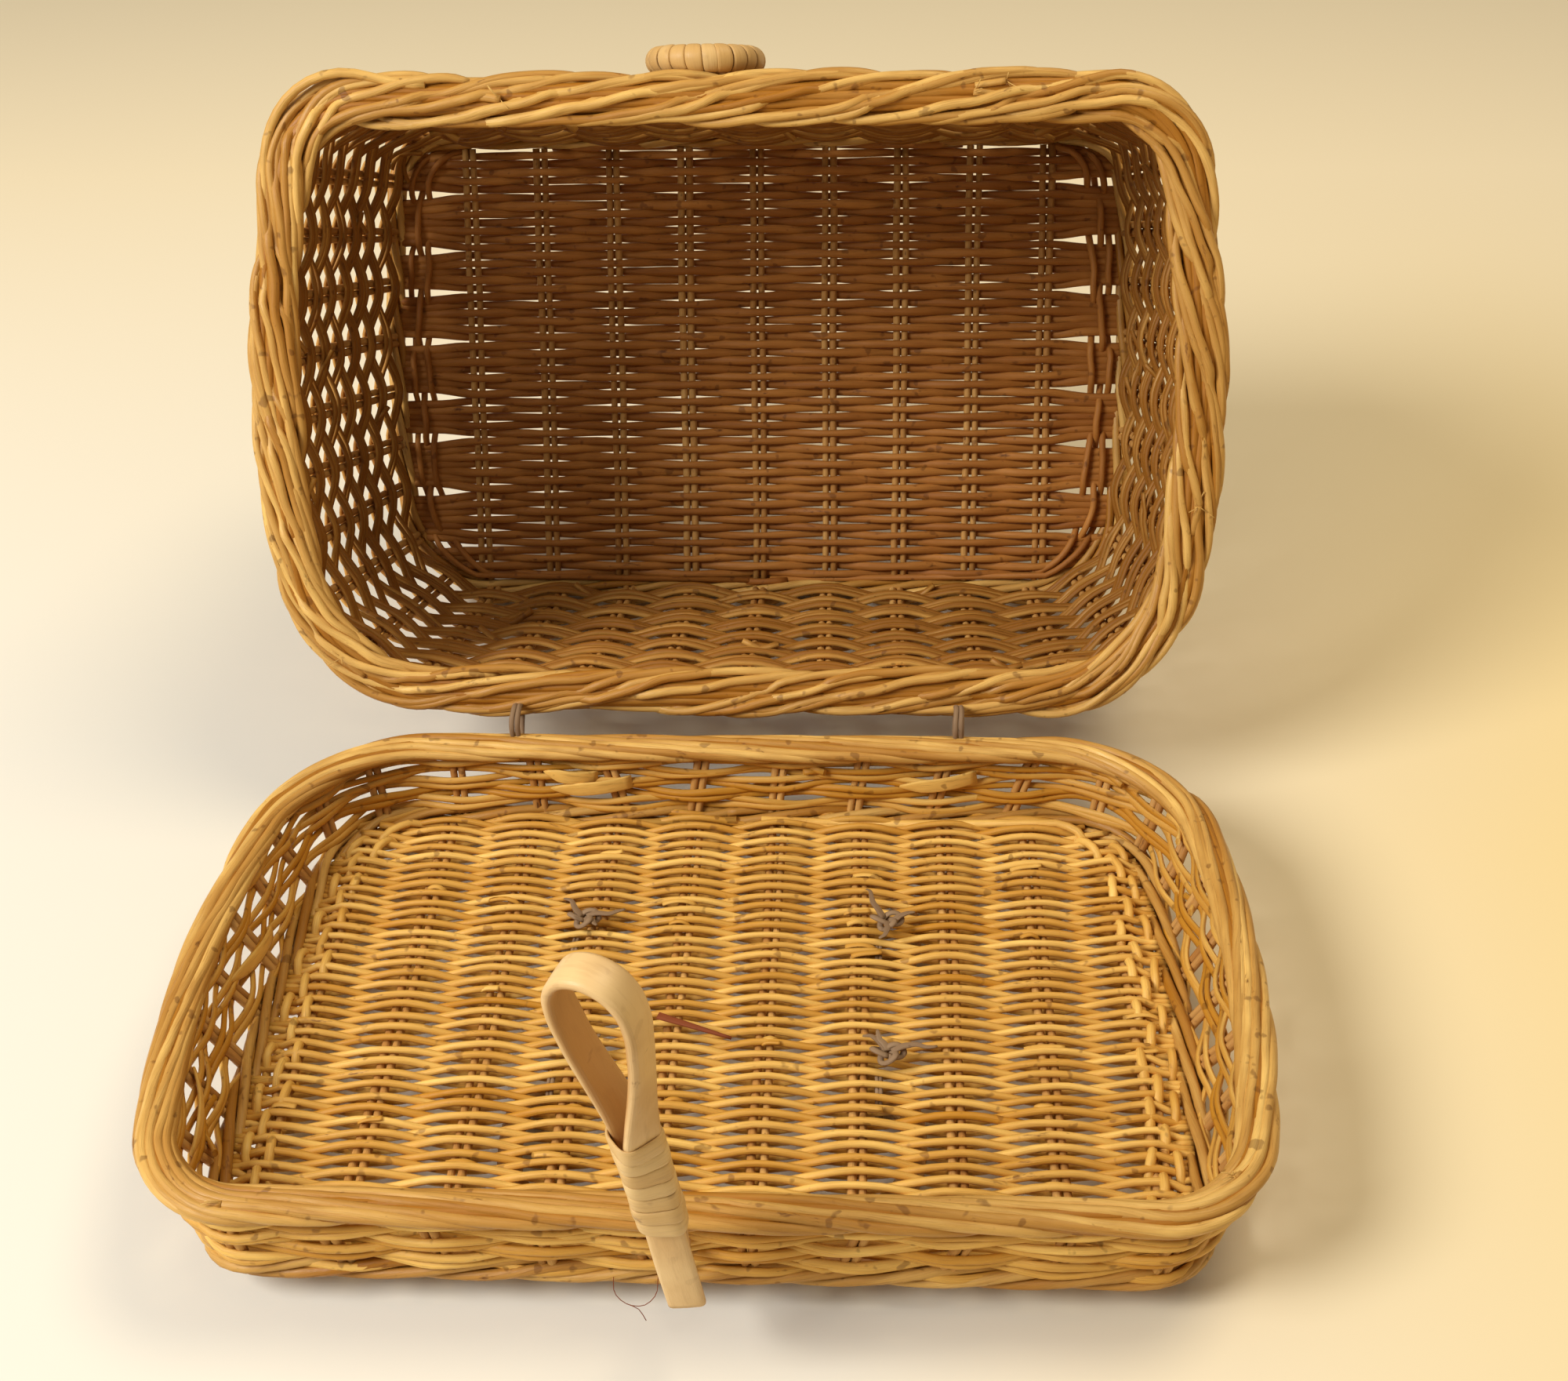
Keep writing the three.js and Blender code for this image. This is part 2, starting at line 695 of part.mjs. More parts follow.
function ringTieLoop(radius) {
  const reach = frontWallY(basket, -ringPivotZ) + wallThickness + clearance + tieDiameter;
  const front = ringY - ringSection / 2 - 2 * clearance - tieDiameter;
  const loop = tieLoop(ringTieWidth - tieDiameter, reach - front - tieDiameter, radius);
  return loop.rotateX(Math.PI / 2).translate(ringX, (reach + front) / 2, ringPivotZ);
}

function buildLid() {
  const group = new THREE.Group();
  const tieHoles = handleTiePlaces.map(([x, y]) => handleTieLoop(x, y, tieDiameter / 2 + clearance));
  group.add(part("lid_rim_border", cut(rimBorder(lid), hingeTunnels), looks.border));
  group.add(part("lid_wall", cut(wall(lid), [haspSlotCutter()]), looks.weave));
  group.add(part("lid_foot_border", footBorder(lid), looks.border));
  group.add(part("lid_top_panel", panel(lid, [...tieHoles, ...slots(lid, lidSlotRows)]), looks.weave));
  group.add(...sticks(lid, "lid_stick_pair"));
  handleTiePlaces.forEach(([x, y], i) => group.add(part(`handle_tie_${i + 1}`, handleTie(x, y), looks.tie)));
  group.add(part("back_handle", dropHandle(handlePivotYs[0], 1), looks.handle));
  group.add(part("front_handle", dropHandle(handlePivotYs[1], -1), looks.handle));
  group.add(part("hasp_loop", hasp(), looks.strip));
  group.add(part("hasp_binding", binding(), looks.binding));
  return group;
}

function buildBasket() {
  const group = new THREE.Group();
  const tieHole = ringTieLoop(tieDiameter / 2 + clearance);
  group.add(part("basket_rim_border", cut(rimBorder(basket), hingeTunnels), looks.border));
  group.add(part("basket_wall", cut(wall(basket), [tieHole]), looks.weave));
  group.add(part("basket_foot_border", footBorder(basket), looks.border));
  group.add(part("basket_base_panel", panel(basket, []), looks.weave));
  group.add(...sticks(basket, "basket_stick_pair"));
  group.add(part("ring_core", ringCore().translate(ringX, ringY, ringZ), looks.strip));
  group.add(part("ring_wrap", ringWrap().translate(ringX, ringY, ringZ), looks.binding));
  group.add(part("ring_tie", ringTieLoop(tieDiameter / 2), looks.tie));
  return group;
}

// Angle between the basket's rim and the table at which its foot comes down level with the handle ties
function restAngle() {
  const table = -lidDepth + clearance + tieDiameter - handleTieHeight;
  const back = trayCentre + basket.footPlan.width / 2;
  const lowest = (angle) => Math.min(...footSection(basket).map(([inwards, z]) =>
    -(back - inwards) * Math.sin(angle) + z * Math.cos(angle)));
  let shut = 0;
  let upright = Math.PI / 2;
  range(bisections).forEach(() => {
    const halfway = (shut + upright) / 2;
    if (lowest(halfway) < table) shut = halfway;
    else upright = halfway;
  });
  return (shut + upright) / 2;
}

const object = new THREE.Group();
const lidGroup = buildLid();
const basketGroup = buildBasket();
basketGroup.rotation.set(restAngle(), 0, Math.PI);
object.add(lidGroup, basketGroup);
hingeTieXs.forEach((x, i) => {
  object.add(part(["hinge_tie_left", "hinge_tie_right"][i], hingeLoop(x, tieDiameter / 2), looks.tie));
});

// The origin is on the table under the middle of the open object
const box = new THREE.Box3().setFromObject(object, true);
const centre = box.getCenter(new THREE.Vector3());
object.position.set(-centre.x, -centre.y, -box.min.z);

export default object;
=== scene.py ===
"""Looks of a small rattan basket with a hinged lid, lying open: every cane is a strand swept along its way.

Each half is a tray, drawn rim up in its own frame: the hinge axis along X through the origin and the front
at -Y.
"""
import json
import math

import bpy
import numpy as np
from mathutils import Matrix, Vector


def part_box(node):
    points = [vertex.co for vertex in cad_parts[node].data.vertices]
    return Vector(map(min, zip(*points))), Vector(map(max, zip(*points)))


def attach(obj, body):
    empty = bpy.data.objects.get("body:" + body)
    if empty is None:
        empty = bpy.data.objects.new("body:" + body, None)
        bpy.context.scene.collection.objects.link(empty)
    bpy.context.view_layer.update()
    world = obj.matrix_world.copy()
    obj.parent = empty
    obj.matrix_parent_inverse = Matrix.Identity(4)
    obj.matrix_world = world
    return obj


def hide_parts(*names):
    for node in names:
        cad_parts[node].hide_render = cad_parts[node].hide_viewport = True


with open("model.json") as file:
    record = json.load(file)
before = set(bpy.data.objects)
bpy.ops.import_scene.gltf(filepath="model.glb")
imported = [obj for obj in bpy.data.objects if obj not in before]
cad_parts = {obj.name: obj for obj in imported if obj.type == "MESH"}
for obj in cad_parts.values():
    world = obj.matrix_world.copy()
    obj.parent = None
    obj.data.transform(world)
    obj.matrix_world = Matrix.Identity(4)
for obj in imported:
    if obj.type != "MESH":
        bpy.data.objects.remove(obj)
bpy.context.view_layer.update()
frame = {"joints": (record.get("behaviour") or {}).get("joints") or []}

# Sizes are in millimetres and become metres when a piece is placed; the stage, the camera's place and the
# bumps are in metres
mm = 0.001

# Camera, fitted to the outlines of the photograph
PHOTO_WIDTH = 2000
SENSOR_WIDTH = 36
FOCAL_PIXELS = 2552.8
CAMERA_FROM_HINGE = (0.0419, -0.5112, 0.3752)
CAMERA_DOWN = math.radians(35.29)
CAMERA_YAW = math.radians(-2.98)
CAMERA_ROLL = math.radians(-1.51)

# Floor, backdrop and lamps, each lamp with its place, power and colour
FLOOR_HALF = 4.0
PAPER_COLOURS = ((0.73, 0.685, 0.565), (0.76, 0.72, 0.62))
# Painted light on the floor: brighter and warmer far behind, and yellow to the right where only the warm
# lamp's light falls
PAINTED_FAR_LIGHT = (0.97, 0.82, 0.55)
PAINTED_WARM_LIGHT = (0.91, 0.67, 0.26)
AMBIENT_COLOUR = (1.0, 0.95, 0.86)
AMBIENT_STRENGTH = 0.29
BACKDROP_COLOUR = (0.80, 0.74, 0.60)
LAMP_TARGET = (0, 0, 0.05)
LAMP_SIZE = 0.7
LAMPS = (
    ("window_key", (-1.00, -0.65, 1.05), 26.0, (0.95, 0.95, 0.97)),
    ("warm_lamp", (0.50, 0.15, 1.40), 8.5, (1.0, 0.86, 0.62)),
)

# Looks of the canes: pale, deep and dark colour, roughness, and strength of specks and fibres if not usual
SPECULAR_LEVEL = 0.27
FIBRE_BUMP = 0.00025
STREAK_BUMP = 0.0005
LOOKS = {
    "golden_cane": ((0.90, 0.57, 0.145), (0.52, 0.225, 0.018), (0.13, 0.035, 0.003), 0.46),
    # The basket's wall and base looks are darker copies of the golden cane: painted shade of the basket's
    # inside
    "painted_shade_wall_cane": ((0.68, 0.36, 0.075), (0.29, 0.108, 0.010), (0.09, 0.025, 0.003), 0.52),
    "painted_shade_base_cane": ((0.52, 0.215, 0.040), (0.28, 0.09, 0.010), (0.09, 0.025, 0.003), 0.58),
    "stick_cane": ((0.70, 0.40, 0.115), (0.40, 0.17, 0.033), (0.11, 0.033, 0.008), 0.6),
    "border_cane": ((0.80, 0.50, 0.14), (0.36, 0.14, 0.012), (0.11, 0.03, 0.003), 0.42),
    "bent_strip": ((0.80, 0.55, 0.25), (0.50, 0.26, 0.08), (0.30, 0.14, 0.045), 0.42, 0.15, 0.25),
    "binding_strip": ((0.80, 0.57, 0.26), (0.58, 0.34, 0.11), (0.26, 0.13, 0.05), 0.45, 0.2, 0.35),
    "old_tie": ((0.34, 0.22, 0.12), (0.22, 0.13, 0.065), (0.08, 0.045, 0.02), 0.7),
    "red_splint": ((0.30, 0.075, 0.018), (0.20, 0.045, 0.012), (0.10, 0.025, 0.008), 0.7),
    "handle_cane": ((0.60, 0.34, 0.11), (0.42, 0.21, 0.065), (0.15, 0.06, 0.02), 0.5),
}

# Outlines and thicknesses of the trays, as in the construction
RIM = dict(length=300, width=196, back=44, front=28, bow=12)
LID_FOOT = dict(length=267, width=185, back=32, front=18, bow=5)
BASKET_FOOT = dict(length=280, width=174, back=34, front=20, bow=5)
HINGE_GAP = 2
PANEL_THICKNESS = 6.4
FOOT_REACH = 1
FOOT_WIDTH = 6.5
FOOT_HEIGHT = 8
WALL_THICKNESS = 5
RIM_CLEARANCE = 0.45
HIGHEST_SWELL = 1.42

# Hasp and its binding, as in the construction
HASP_ORIGIN = (-2, -211.25, 0)
HASP_LEAN_OUT = math.radians(6)
HASP_LEAN_LEFT = math.radians(6.8)
HASP_TWIST = math.radians(67)
HASP_TAIL = 14
HASP_NECK = 42.5
HASP_LENGTH = 103
HASP_TWIST_START = 14
HASP_TWIST_END = 82
HASP_BULGE = 8.8
HASP_OFFSET = 1.55
HASP_PIVOT_DEPTH = 13.5
HASP_BEND = 4
HASP_STEPS = (1.6, 1.2)
STRIP_WIDTH = 9.2
STRIP_THICKNESS = 2.8
TURN_IN_SHIFT = 2.2
TURN_IN_START_SHARE = 0.8
TURN_IN_EASE_SHARE = 0.1
TURN_IN_WIDTH_SHARE = 0.55
LOOP_WAY_SHARES = (0, 0.22, 0.45, 0.65, 0.8, 0.9, 0.97, 1)
LOOP_WIDTH_SHARES = (0, 0.28, 0.60, 0.86, 1, 0.92, 0.6, 0)
BINDING_START = 16.5
BINDING_END = 50.5
BINDING_TURNS = 7
BINDING_ANGLES = (-0.35, math.tau + 0.3)
BINDING_STEPS = 44
BINDING_DEEP = 3.75
BINDING_WIDE = 5.4
BINDING_CLEARANCE = 0.7
BINDING_GROWTH = (-0.25, 0.3)
BINDING_ADVANCE_SHARES = (0.1, 0.85)

# Ring, its wraps and its tie
RING_SECTION = 8.2
RING_MIDDLE = 14
RING_Y = -202.4
RING_Z = -21.1
RING_STEPS = 97
HOOP_CUT = 1.0
WRAP_COUNT = 22
WRAP_STEPS = 26
WRAP_ANGLES = (math.pi - 0.2, math.pi + math.tau + 0.1)
WRAP_CUT = 0.45
WRAP_GROWTH = (-0.12, 0.16)
WRAP_WIDTH_SHARES = (0.86, 1.04)
WRAP_SLANT_SHARE = 0.55
WRAP_TONES = (0.8, 1.4)
RING_TIE_SHIFTS = (-0.9, 0.9)
RING_TIE_HALF_HIGH = 5.4
RING_TIE_INSIDE = 1.6
RING_TIE_OUTSIDE = 1.2

# Hinge ties, handles and the knots that hold them
HINGE_TIE_RADIUS = 5.5
HINGE_TIE_SHIFTS = (-0.75, 0.75)
TIE_STEPS = 41
TIE_SQUARENESS = 0.6
RING_TIE_SQUARENESS = 0.7
TIE_RADIUS = 1.1
TIE_HALVES = (0.95, 0.55)
HANDLE_Z = -36.5
HANDLE_ROD = 7
HANDLE_TIE_X = 45
HANDLE_HALF = 54.2
HANDLE_STUB = 40
HANDLE_PIVOT = 27
HANDLE_REACH = 40
HANDLE_BEND = 7
HANDLE_CORNER = 20
HANDLE_STEP = 2.5
HANDLE_TIP_SHARES = (0.8, 0.95)
HANDLE_TIE_SHIFTS = (-0.5, 0.5)
HANDLE_TIE_STEPS = 33
HANDLE_TIE_HALF = 4.9
HANDLE_TIE_TOP = 2.4
KNOT_SHIFT = (2.5, 5.5)
KNOT_RISE = 2.4
KNOT_SIZE = 1.25

# Each handle tie's side of the lid in x and y, its knot's shift, and the tails by direction, length and rise
HANDLE_TIES = (
    (-1, 1, 0, ((2.5, 9, 0.7), (0.25, 13, 0.3), (5.6, 6, 0.2))),
    (1, 1, 0, ((2.2, 12, 0.8), (4.4, 10, 0.3), (0.2, 9, 0.3))),
    (-1, -1, 6, ((2.8, 8, 0.4), (0.9, 7, 0.4))),
    (1, -1, 0, ((2.6, 9, 0.5), (0.15, 14, 0.35), (1.9, 8, 0.6))),
)

# Peeled splints inside the lid's wall: share round the wall, depth, length and slant
LID_SPLINTS = (
    (0.055, 17, 27, 0.10),
    (0.062, 13, 17, -0.12),
    (0.925, 15, 24, 0.16),
    (0.235, 18, 30, -0.22),
    (0.31, 15, 26, 0.18),
)

# A splint lying on the lid's floor, and a hair of two ways under its front edge
SPLINT_ENDS = ((-17, -107), (4, -114))
HAIR_MIDDLE = (-17, -199.3, -30.4)
HAIR_WAYS = (
    ((-20.5, -194, -27), (-20, -197.5, -28.5), HAIR_MIDDLE, (-12.5, -199.3, -30.8), (-9.8, -197.5, -29),
     (-9.5, -194, -27)),
    (HAIR_MIDDLE, (-14, -200.2, -31.2), (-12, -202.2, -33)),
)
HAIR_RADIUS = 0.11
HAIR_STEP = 1.5
SPLINT_LIFT = 1.2
SPLINT_RISE = 1.5
SPLINT_HALF = 1.3

# Ways of the rim strands: share of the way, angle round the section and how far out they lie
PLAIT_WAY = (
    (0.00, 225, 0.80), (0.05, 194, 1.00), (0.11, 168, 1.22), (0.28, 138, 1.30), (0.42, 112, 1.30),
    (0.49, 96, 1.20), (0.52, 86, 0.74), (0.62, 60, 0.82), (0.74, 34, 1.10), (0.90, 2, 1.12),
    (1.00, -30, 0.82),
)
ROLL_WAY = (
    (0.00, 220, 0.78), (0.08, 186, 1.00), (0.20, 158, 1.08), (0.40, 118, 1.08), (0.60, 76, 1.08),
    (0.80, 30, 1.08), (0.93, -12, 1.00), (1.00, -50, 0.78),
)

# Least and greatest thickness of the strands, as shares of the usual one
FLOOR_THICK_SHARES = (0.88, 1.08)
WALL_THICK_SHARES = (0.85, 1.1)
STICK_THICK_SHARES = (0.9, 1.08)
FOOT_THICK_SHARES = (0.92, 1.08)
RIM_THICK_SHARES = (0.88, 1.1)

# Reach and wavelength of each sway. The reach is a length at sides, sticks, stakes and ties, an angle at
# turns, the foot and tails, and otherwise a share of the strand's own size
FLOOR_WAVELENGTH = 60
FLOOR_RISE_SWAY = (0.14, 45)
FLOOR_WIDTH_SWAY = (0.08, 70)
EDGE_PHASE_SWAY = (0.25, 70)
EDGE_SIDE_SWAY = (0.9, 50)
STICK_SIDE_SWAY = (0.35, 120)
STICK_RISE_SWAY = (0.15, 90)
STAKE_SWAY = (0.2, 60)
WALL_WAVELENGTH = 90
WALL_OUT_SWAY = (0.25, 50)
WALL_WIDTH_SWAY = (0.1, 60)
FOOT_SWAY = (0.15, 80)
CORE_TURN_SWAY = (0.2, 110)
CORE_SWELL_SWAY = (0.05, 80)
RIM_WAVELENGTH = 70
RIM_WIDTH_SWAY = (0.06, 50)
HASP_WIDTH_SWAY = (0.03, 0.4)
BINDING_WIDTH_SWAY = (0.08, 1.0)
TIE_RADIUS_SWAY = (0.25, 3.0)
TIE_SIDE_SWAY = (0.3, math.tau)
TAIL_SWAY = (0.7, 1.3)
HANDLE_SWAY = (0.025, 90)

# Floors and walls: how rows gather, overlap, tuck in and flatten, and how loose ends and splints lie
GATHER_SHARE = 0.7
PINCH_POWER = 6
EDGE_FINENESS = 1.6
EDGE_SHARPNESS = 2.2
OVERLAP_SHARES = (0.005, 0.03)
TUCK_LENGTH = 6
TUCK_DEPTH_RADII = 2.5
FLAT_SPREAD = 1.4
FLAT_ON_SIDES = 0.3
FLAT_AT_ENDS = 0.75
FLATTEST = (1.3, 0.6)
LOOSE_END_SHIFT = 3
LOOSE_END_TURN = 0.16
LOOSE_END_LENGTH_SHARES = (0.6, 1.4)
LOOSE_END_WIDTH_SHARES = (0.8, 1.3)
LOOSE_END_HEIGHT_SHARES = (0.4, 0.8)
PEELED_LIFT = 1.6
PEELED_CURL = 2.2

# Borders: how the strands differ and end, and the reach of a point that shows a strand's direction outwards
UNEVEN_TURN = 45
LIFT_SCALE = 3
TIP_LENGTH = 4
TIP_SHARE = 0.72
CUT_END_ANGLES = (55, 140)
FRAYED_FIBRES = 3
FIBRE_LENGTH = 5
FIBRE_RADIUS = 0.16
ARCH_SWELL = 0.98
BEYOND = 1.6

# Facets, steps and sections
ROUND_SIDES = 8
FINE_SIDES = 16
STRIP_SQUARENESS = (0.35, 0.75)
WRAP_SQUARENESS = (0.6, 0.75)
STRAND_STEP = 3.2
STRAIGHT_STEP = 4 * STRAND_STEP
PLAN_POINTS = 900
ARC_STEPS = 40
CORNERS = ((1, 1), (-1, 1), (-1, -1), (1, -1))
TINY = 1e-6
OCTAVES = (1.0, 2.3, 4.1)
TONE_SHIFT = 7

hinge = next(joint for joint in frame["joints"] if joint["name"] == "lid_hinge")
hinge_place = np.array(hinge["pos_m"])
# The lid shuts by turning from the table onto the basket, which leaves the angle at which the basket stands
stand_angle = math.pi + math.radians(hinge["range_deg"][0])


def own_box(name):
    """Corners of a solid's box, seen from the hinge."""
    return [(np.array(corner) - hinge_place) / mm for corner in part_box(name)]


def unit(vectors):
    """Vectors of length one."""
    vectors = np.asarray(vectors, float)
    return vectors / np.maximum(np.linalg.norm(vectors, axis=-1, keepdims=True), 1e-12)


def ease(value):
    """Smooth step from 0 to 1."""
    value = np.clip(value, 0, 1)
    return value * value * (3 - 2 * value)


def mix(first, second, share):
    return first + (second - first) * share


def distances(points):
    """How far along a path each of its points lies."""
    return np.concatenate([[0], np.cumsum(np.linalg.norm(np.diff(points, axis=0), axis=1))])


def spaced(points, step):
    """Points along a smooth curve through the given ones, at about one step from each other."""
    points = np.asarray(points, float)
    chords = np.maximum(np.linalg.norm(np.diff(points, axis=0), axis=1), 1e-9)
    knots = np.concatenate([[0], np.cumsum(chords)])
    slopes = np.gradient(points, knots, axis=0)
    ways = np.linspace(0, knots[-1], max(3, round(knots[-1] / step) + 1))
    piece = np.clip(np.searchsorted(knots, ways, side="right") - 1, 0, len(chords) - 1)
    width = chords[piece][:, None]
    share = ((ways - knots[piece]) / chords[piece])[:, None]
    start, end = points[piece], points[piece + 1]
    return (
        (2 * share**3 - 3 * share**2 + 1) * start
        + (share**3 - 2 * share**2 + share) * width * slopes[piece]
        + (3 * share**2 - 2 * share**3) * end
        + (share**3 - share**2) * width * slopes[piece + 1]
    )


def squarish(angles, squareness):
    """Both coordinates of points on a circle, pushed out towards a square by powers below one."""
    circle = np.stack([np.cos(angles), np.sin(angles)])
    return np.sign(circle) * np.abs(circle) ** np.reshape(squareness, (-1, 1))


def section_of(sides, squareness=1):
    """Points of a strand's section, one half wide and one half high."""
    return squarish(np.arange(sides) * math.tau / sides, squareness).T


ROUND = section_of(ROUND_SIDES)
ROD = section_of(FINE_SIDES)
STRIP = section_of(FINE_SIDES, STRIP_SQUARENESS)
WRAP = section_of(FINE_SIDES, WRAP_SQUARENESS)


class Plan:
    """Closed outline of a tray at one level, read by the share of its length from the middle of the back."""

    def __init__(self, length, width, back, front, bow, inset=0.0):
        length, width = length - 2 * inset, width - 2 * inset
        arcs = []
        for quarter, (side_x, side_y) in enumerate(CORNERS):
            radius = (back if side_y > 0 else front) - inset
            angles = (quarter + np.linspace(0, 1, ARC_STEPS)) * math.pi / 2
            x = side_x * (length / 2 - radius) + radius * np.cos(angles)
            y = side_y * (width / 2 - radius) + radius * np.sin(angles)
            arcs.append(np.stack([x, y], axis=1))
        points = self.even(np.concatenate(arcs))
        points[:, 0] *= 1 - bow / (length / 2) * (2 * points[:, 1] / width) ** 2
        start = np.argmin(np.abs(points[:-1, 0]) + (points[:-1, 1] < 0))
        points = self.even(np.roll(points[:-1], -start, axis=0))
        self.points = points
        self.shares = np.linspace(0, 1, len(points))
        tangents = unit(np.gradient(points, axis=0))
        self.normals = np.stack([tangents[:, 1], -tangents[:, 0]], axis=1)
        self.perimeter = np.linalg.norm(np.diff(points, axis=0), axis=1).sum()
        self.width = width

    @staticmethod
    def even(points):
        closed = np.concatenate([points, points[:1]])
        ways = distances(closed)
        even_ways = np.linspace(0, ways[-1], PLAN_POINTS + 1)
        return np.stack([np.interp(even_ways, ways, closed[:, axis]) for axis in (0, 1)], axis=1)

    def read(self, table, shares):
        wrapped = np.mod(shares, 1.0)
        return np.stack([np.interp(wrapped, self.shares, table[:, axis]) for axis in (0, 1)], axis=-1)

    def at(self, shares):
        return self.read(self.points, shares)

    def outwards(self, shares):
        return unit(self.read(self.normals, shares))

    def reach(self, y):
        """Half length of the outline at one y."""
        right = self.points[self.points[:, 0] > 0]
        order = np.argsort(right[:, 1])
        return np.interp(y, right[order, 1], right[order, 0])


def linked(name, data):
    """A new object in the scene."""
    thing = bpy.data.objects.new(name, data)
    bpy.context.scene.collection.objects.link(thing)
    return thing


class Nodes:
    """A small helper to build node trees with few lines."""

    def __init__(self, owner):
        owner.use_nodes = True
        self.nodes = owner.node_tree.nodes
        self.links = owner.node_tree.links

    def feed(self, node, inputs, output=0):
        """Feeds sockets with numbers, colours or outputs, and gives one of the node's own outputs."""
        for name, value in inputs.items():
            socket = node.inputs[name]
            if isinstance(value, bpy.types.NodeSocket):
                self.links.new(value, socket)
            elif isinstance(value, tuple):
                socket.default_value = value + (1,) * (len(socket.default_value) - len(value))
            else:
                socket.default_value = value
        return node.outputs[output] if node.outputs else None

    def uv(self, along, around):
        """Coordinates along and around each strand, scaled."""
        source = self.nodes.new("ShaderNodeUVMap")
        source.uv_map = "cane"
        scale = self.nodes.new("ShaderNodeVectorMath")
        scale.operation = "MULTIPLY"
        return self.feed(scale, {0: source.outputs["UV"], 1: (along, around, 1)})

    def place(self):
        return self.nodes.new("ShaderNodeTexCoord").outputs["Object"]

    def tone(self):
        source = self.nodes.new("ShaderNodeAttribute")
        source.attribute_name = "tone"
        return source.outputs["Fac"]

    def noise(self, vector, detail=2.0, roughness=0.5, scale=1.0):
        node = self.nodes.new("ShaderNodeTexNoise")
        inputs = {"Vector": vector, "Scale": scale, "Detail": detail, "Roughness": roughness}
        return self.feed(node, inputs, "Fac")

    def remap(self, value, low, high, to_low=0.0, to_high=1.0):
        node = self.nodes.new("ShaderNodeMapRange")
        inputs = {"Value": value, "From Min": low, "From Max": high, "To Min": to_low, "To Max": to_high}
        return self.feed(node, inputs, "Result")

    def combine(self, operation, first, second):
        node = self.nodes.new("ShaderNodeMath")
        node.operation = operation
        return self.feed(node, {0: first, 1: second})

    def blend(self, share, first, second):
        """Mixes two colours, each a tuple or an output."""
        node = self.nodes.new("ShaderNodeMix")
        node.data_type = "RGBA"
        return self.feed(node, {0: share, 6: first, 7: second}, 2)

    def bump(self, inputs, distance, strength):
        node = self.nodes.new("ShaderNodeBump")
        return self.feed(node, {"Distance": distance, "Strength": strength, **inputs}, "Normal")


def cane_look(name, pale, deep, dark, roughness, speck=0.5, fibre=0.5):
    """Cane: strands differ in tone, with long fibres, faint growth bands and small dark specks."""
    material = bpy.data.materials.new(name)
    look = Nodes(material)
    streaks = look.noise(look.uv(55, 2.2), detail=3)
    patches = look.noise(look.uv(14, 0.7))
    fibres = look.noise(look.uv(90, 26), detail=3, roughness=0.65)
    spots = look.noise(look.place(), detail=1.5, scale=230)
    marks = look.noise(look.uv(70, 1.6), detail=4, roughness=0.7)
    # The tone attribute holds each strand's own random tone and, where strands add it, painted shade
    toned = look.combine("MULTIPLY", look.tone(), 0.75)
    own = look.combine("ADD", toned, look.remap(patches, 0.3, 0.7, -0.15, 0.4))
    base = look.blend(look.remap(own, 0.0, 1.0), pale, deep)
    base = look.blend(look.remap(streaks, 0.35, 0.72, 0.0, 0.55), base, deep)
    base = look.blend(look.remap(fibres, 0.52, 0.8, 0.0, fibre), base, dark)
    base = look.blend(look.remap(marks, 0.64, 0.71, 0.0, 0.8), base, dark)
    base = look.blend(look.remap(spots, 0.66, 0.71, 0.0, speck), base, dark)
    rib = look.bump({"Height": fibres}, FIBRE_BUMP, 0.55)
    look.feed(look.nodes["Principled BSDF"], {
        "Base Color": base,
        "Roughness": look.remap(streaks, 0.3, 0.7, roughness - 0.1, roughness + 0.12),
        "Specular IOR Level": SPECULAR_LEVEL,
        "Normal": look.bump({"Height": streaks, "Normal": rib}, STREAK_BUMP, 0.35),
    })
    return material


looks = {name: cane_look(name, *values) for name, values in LOOKS.items()}


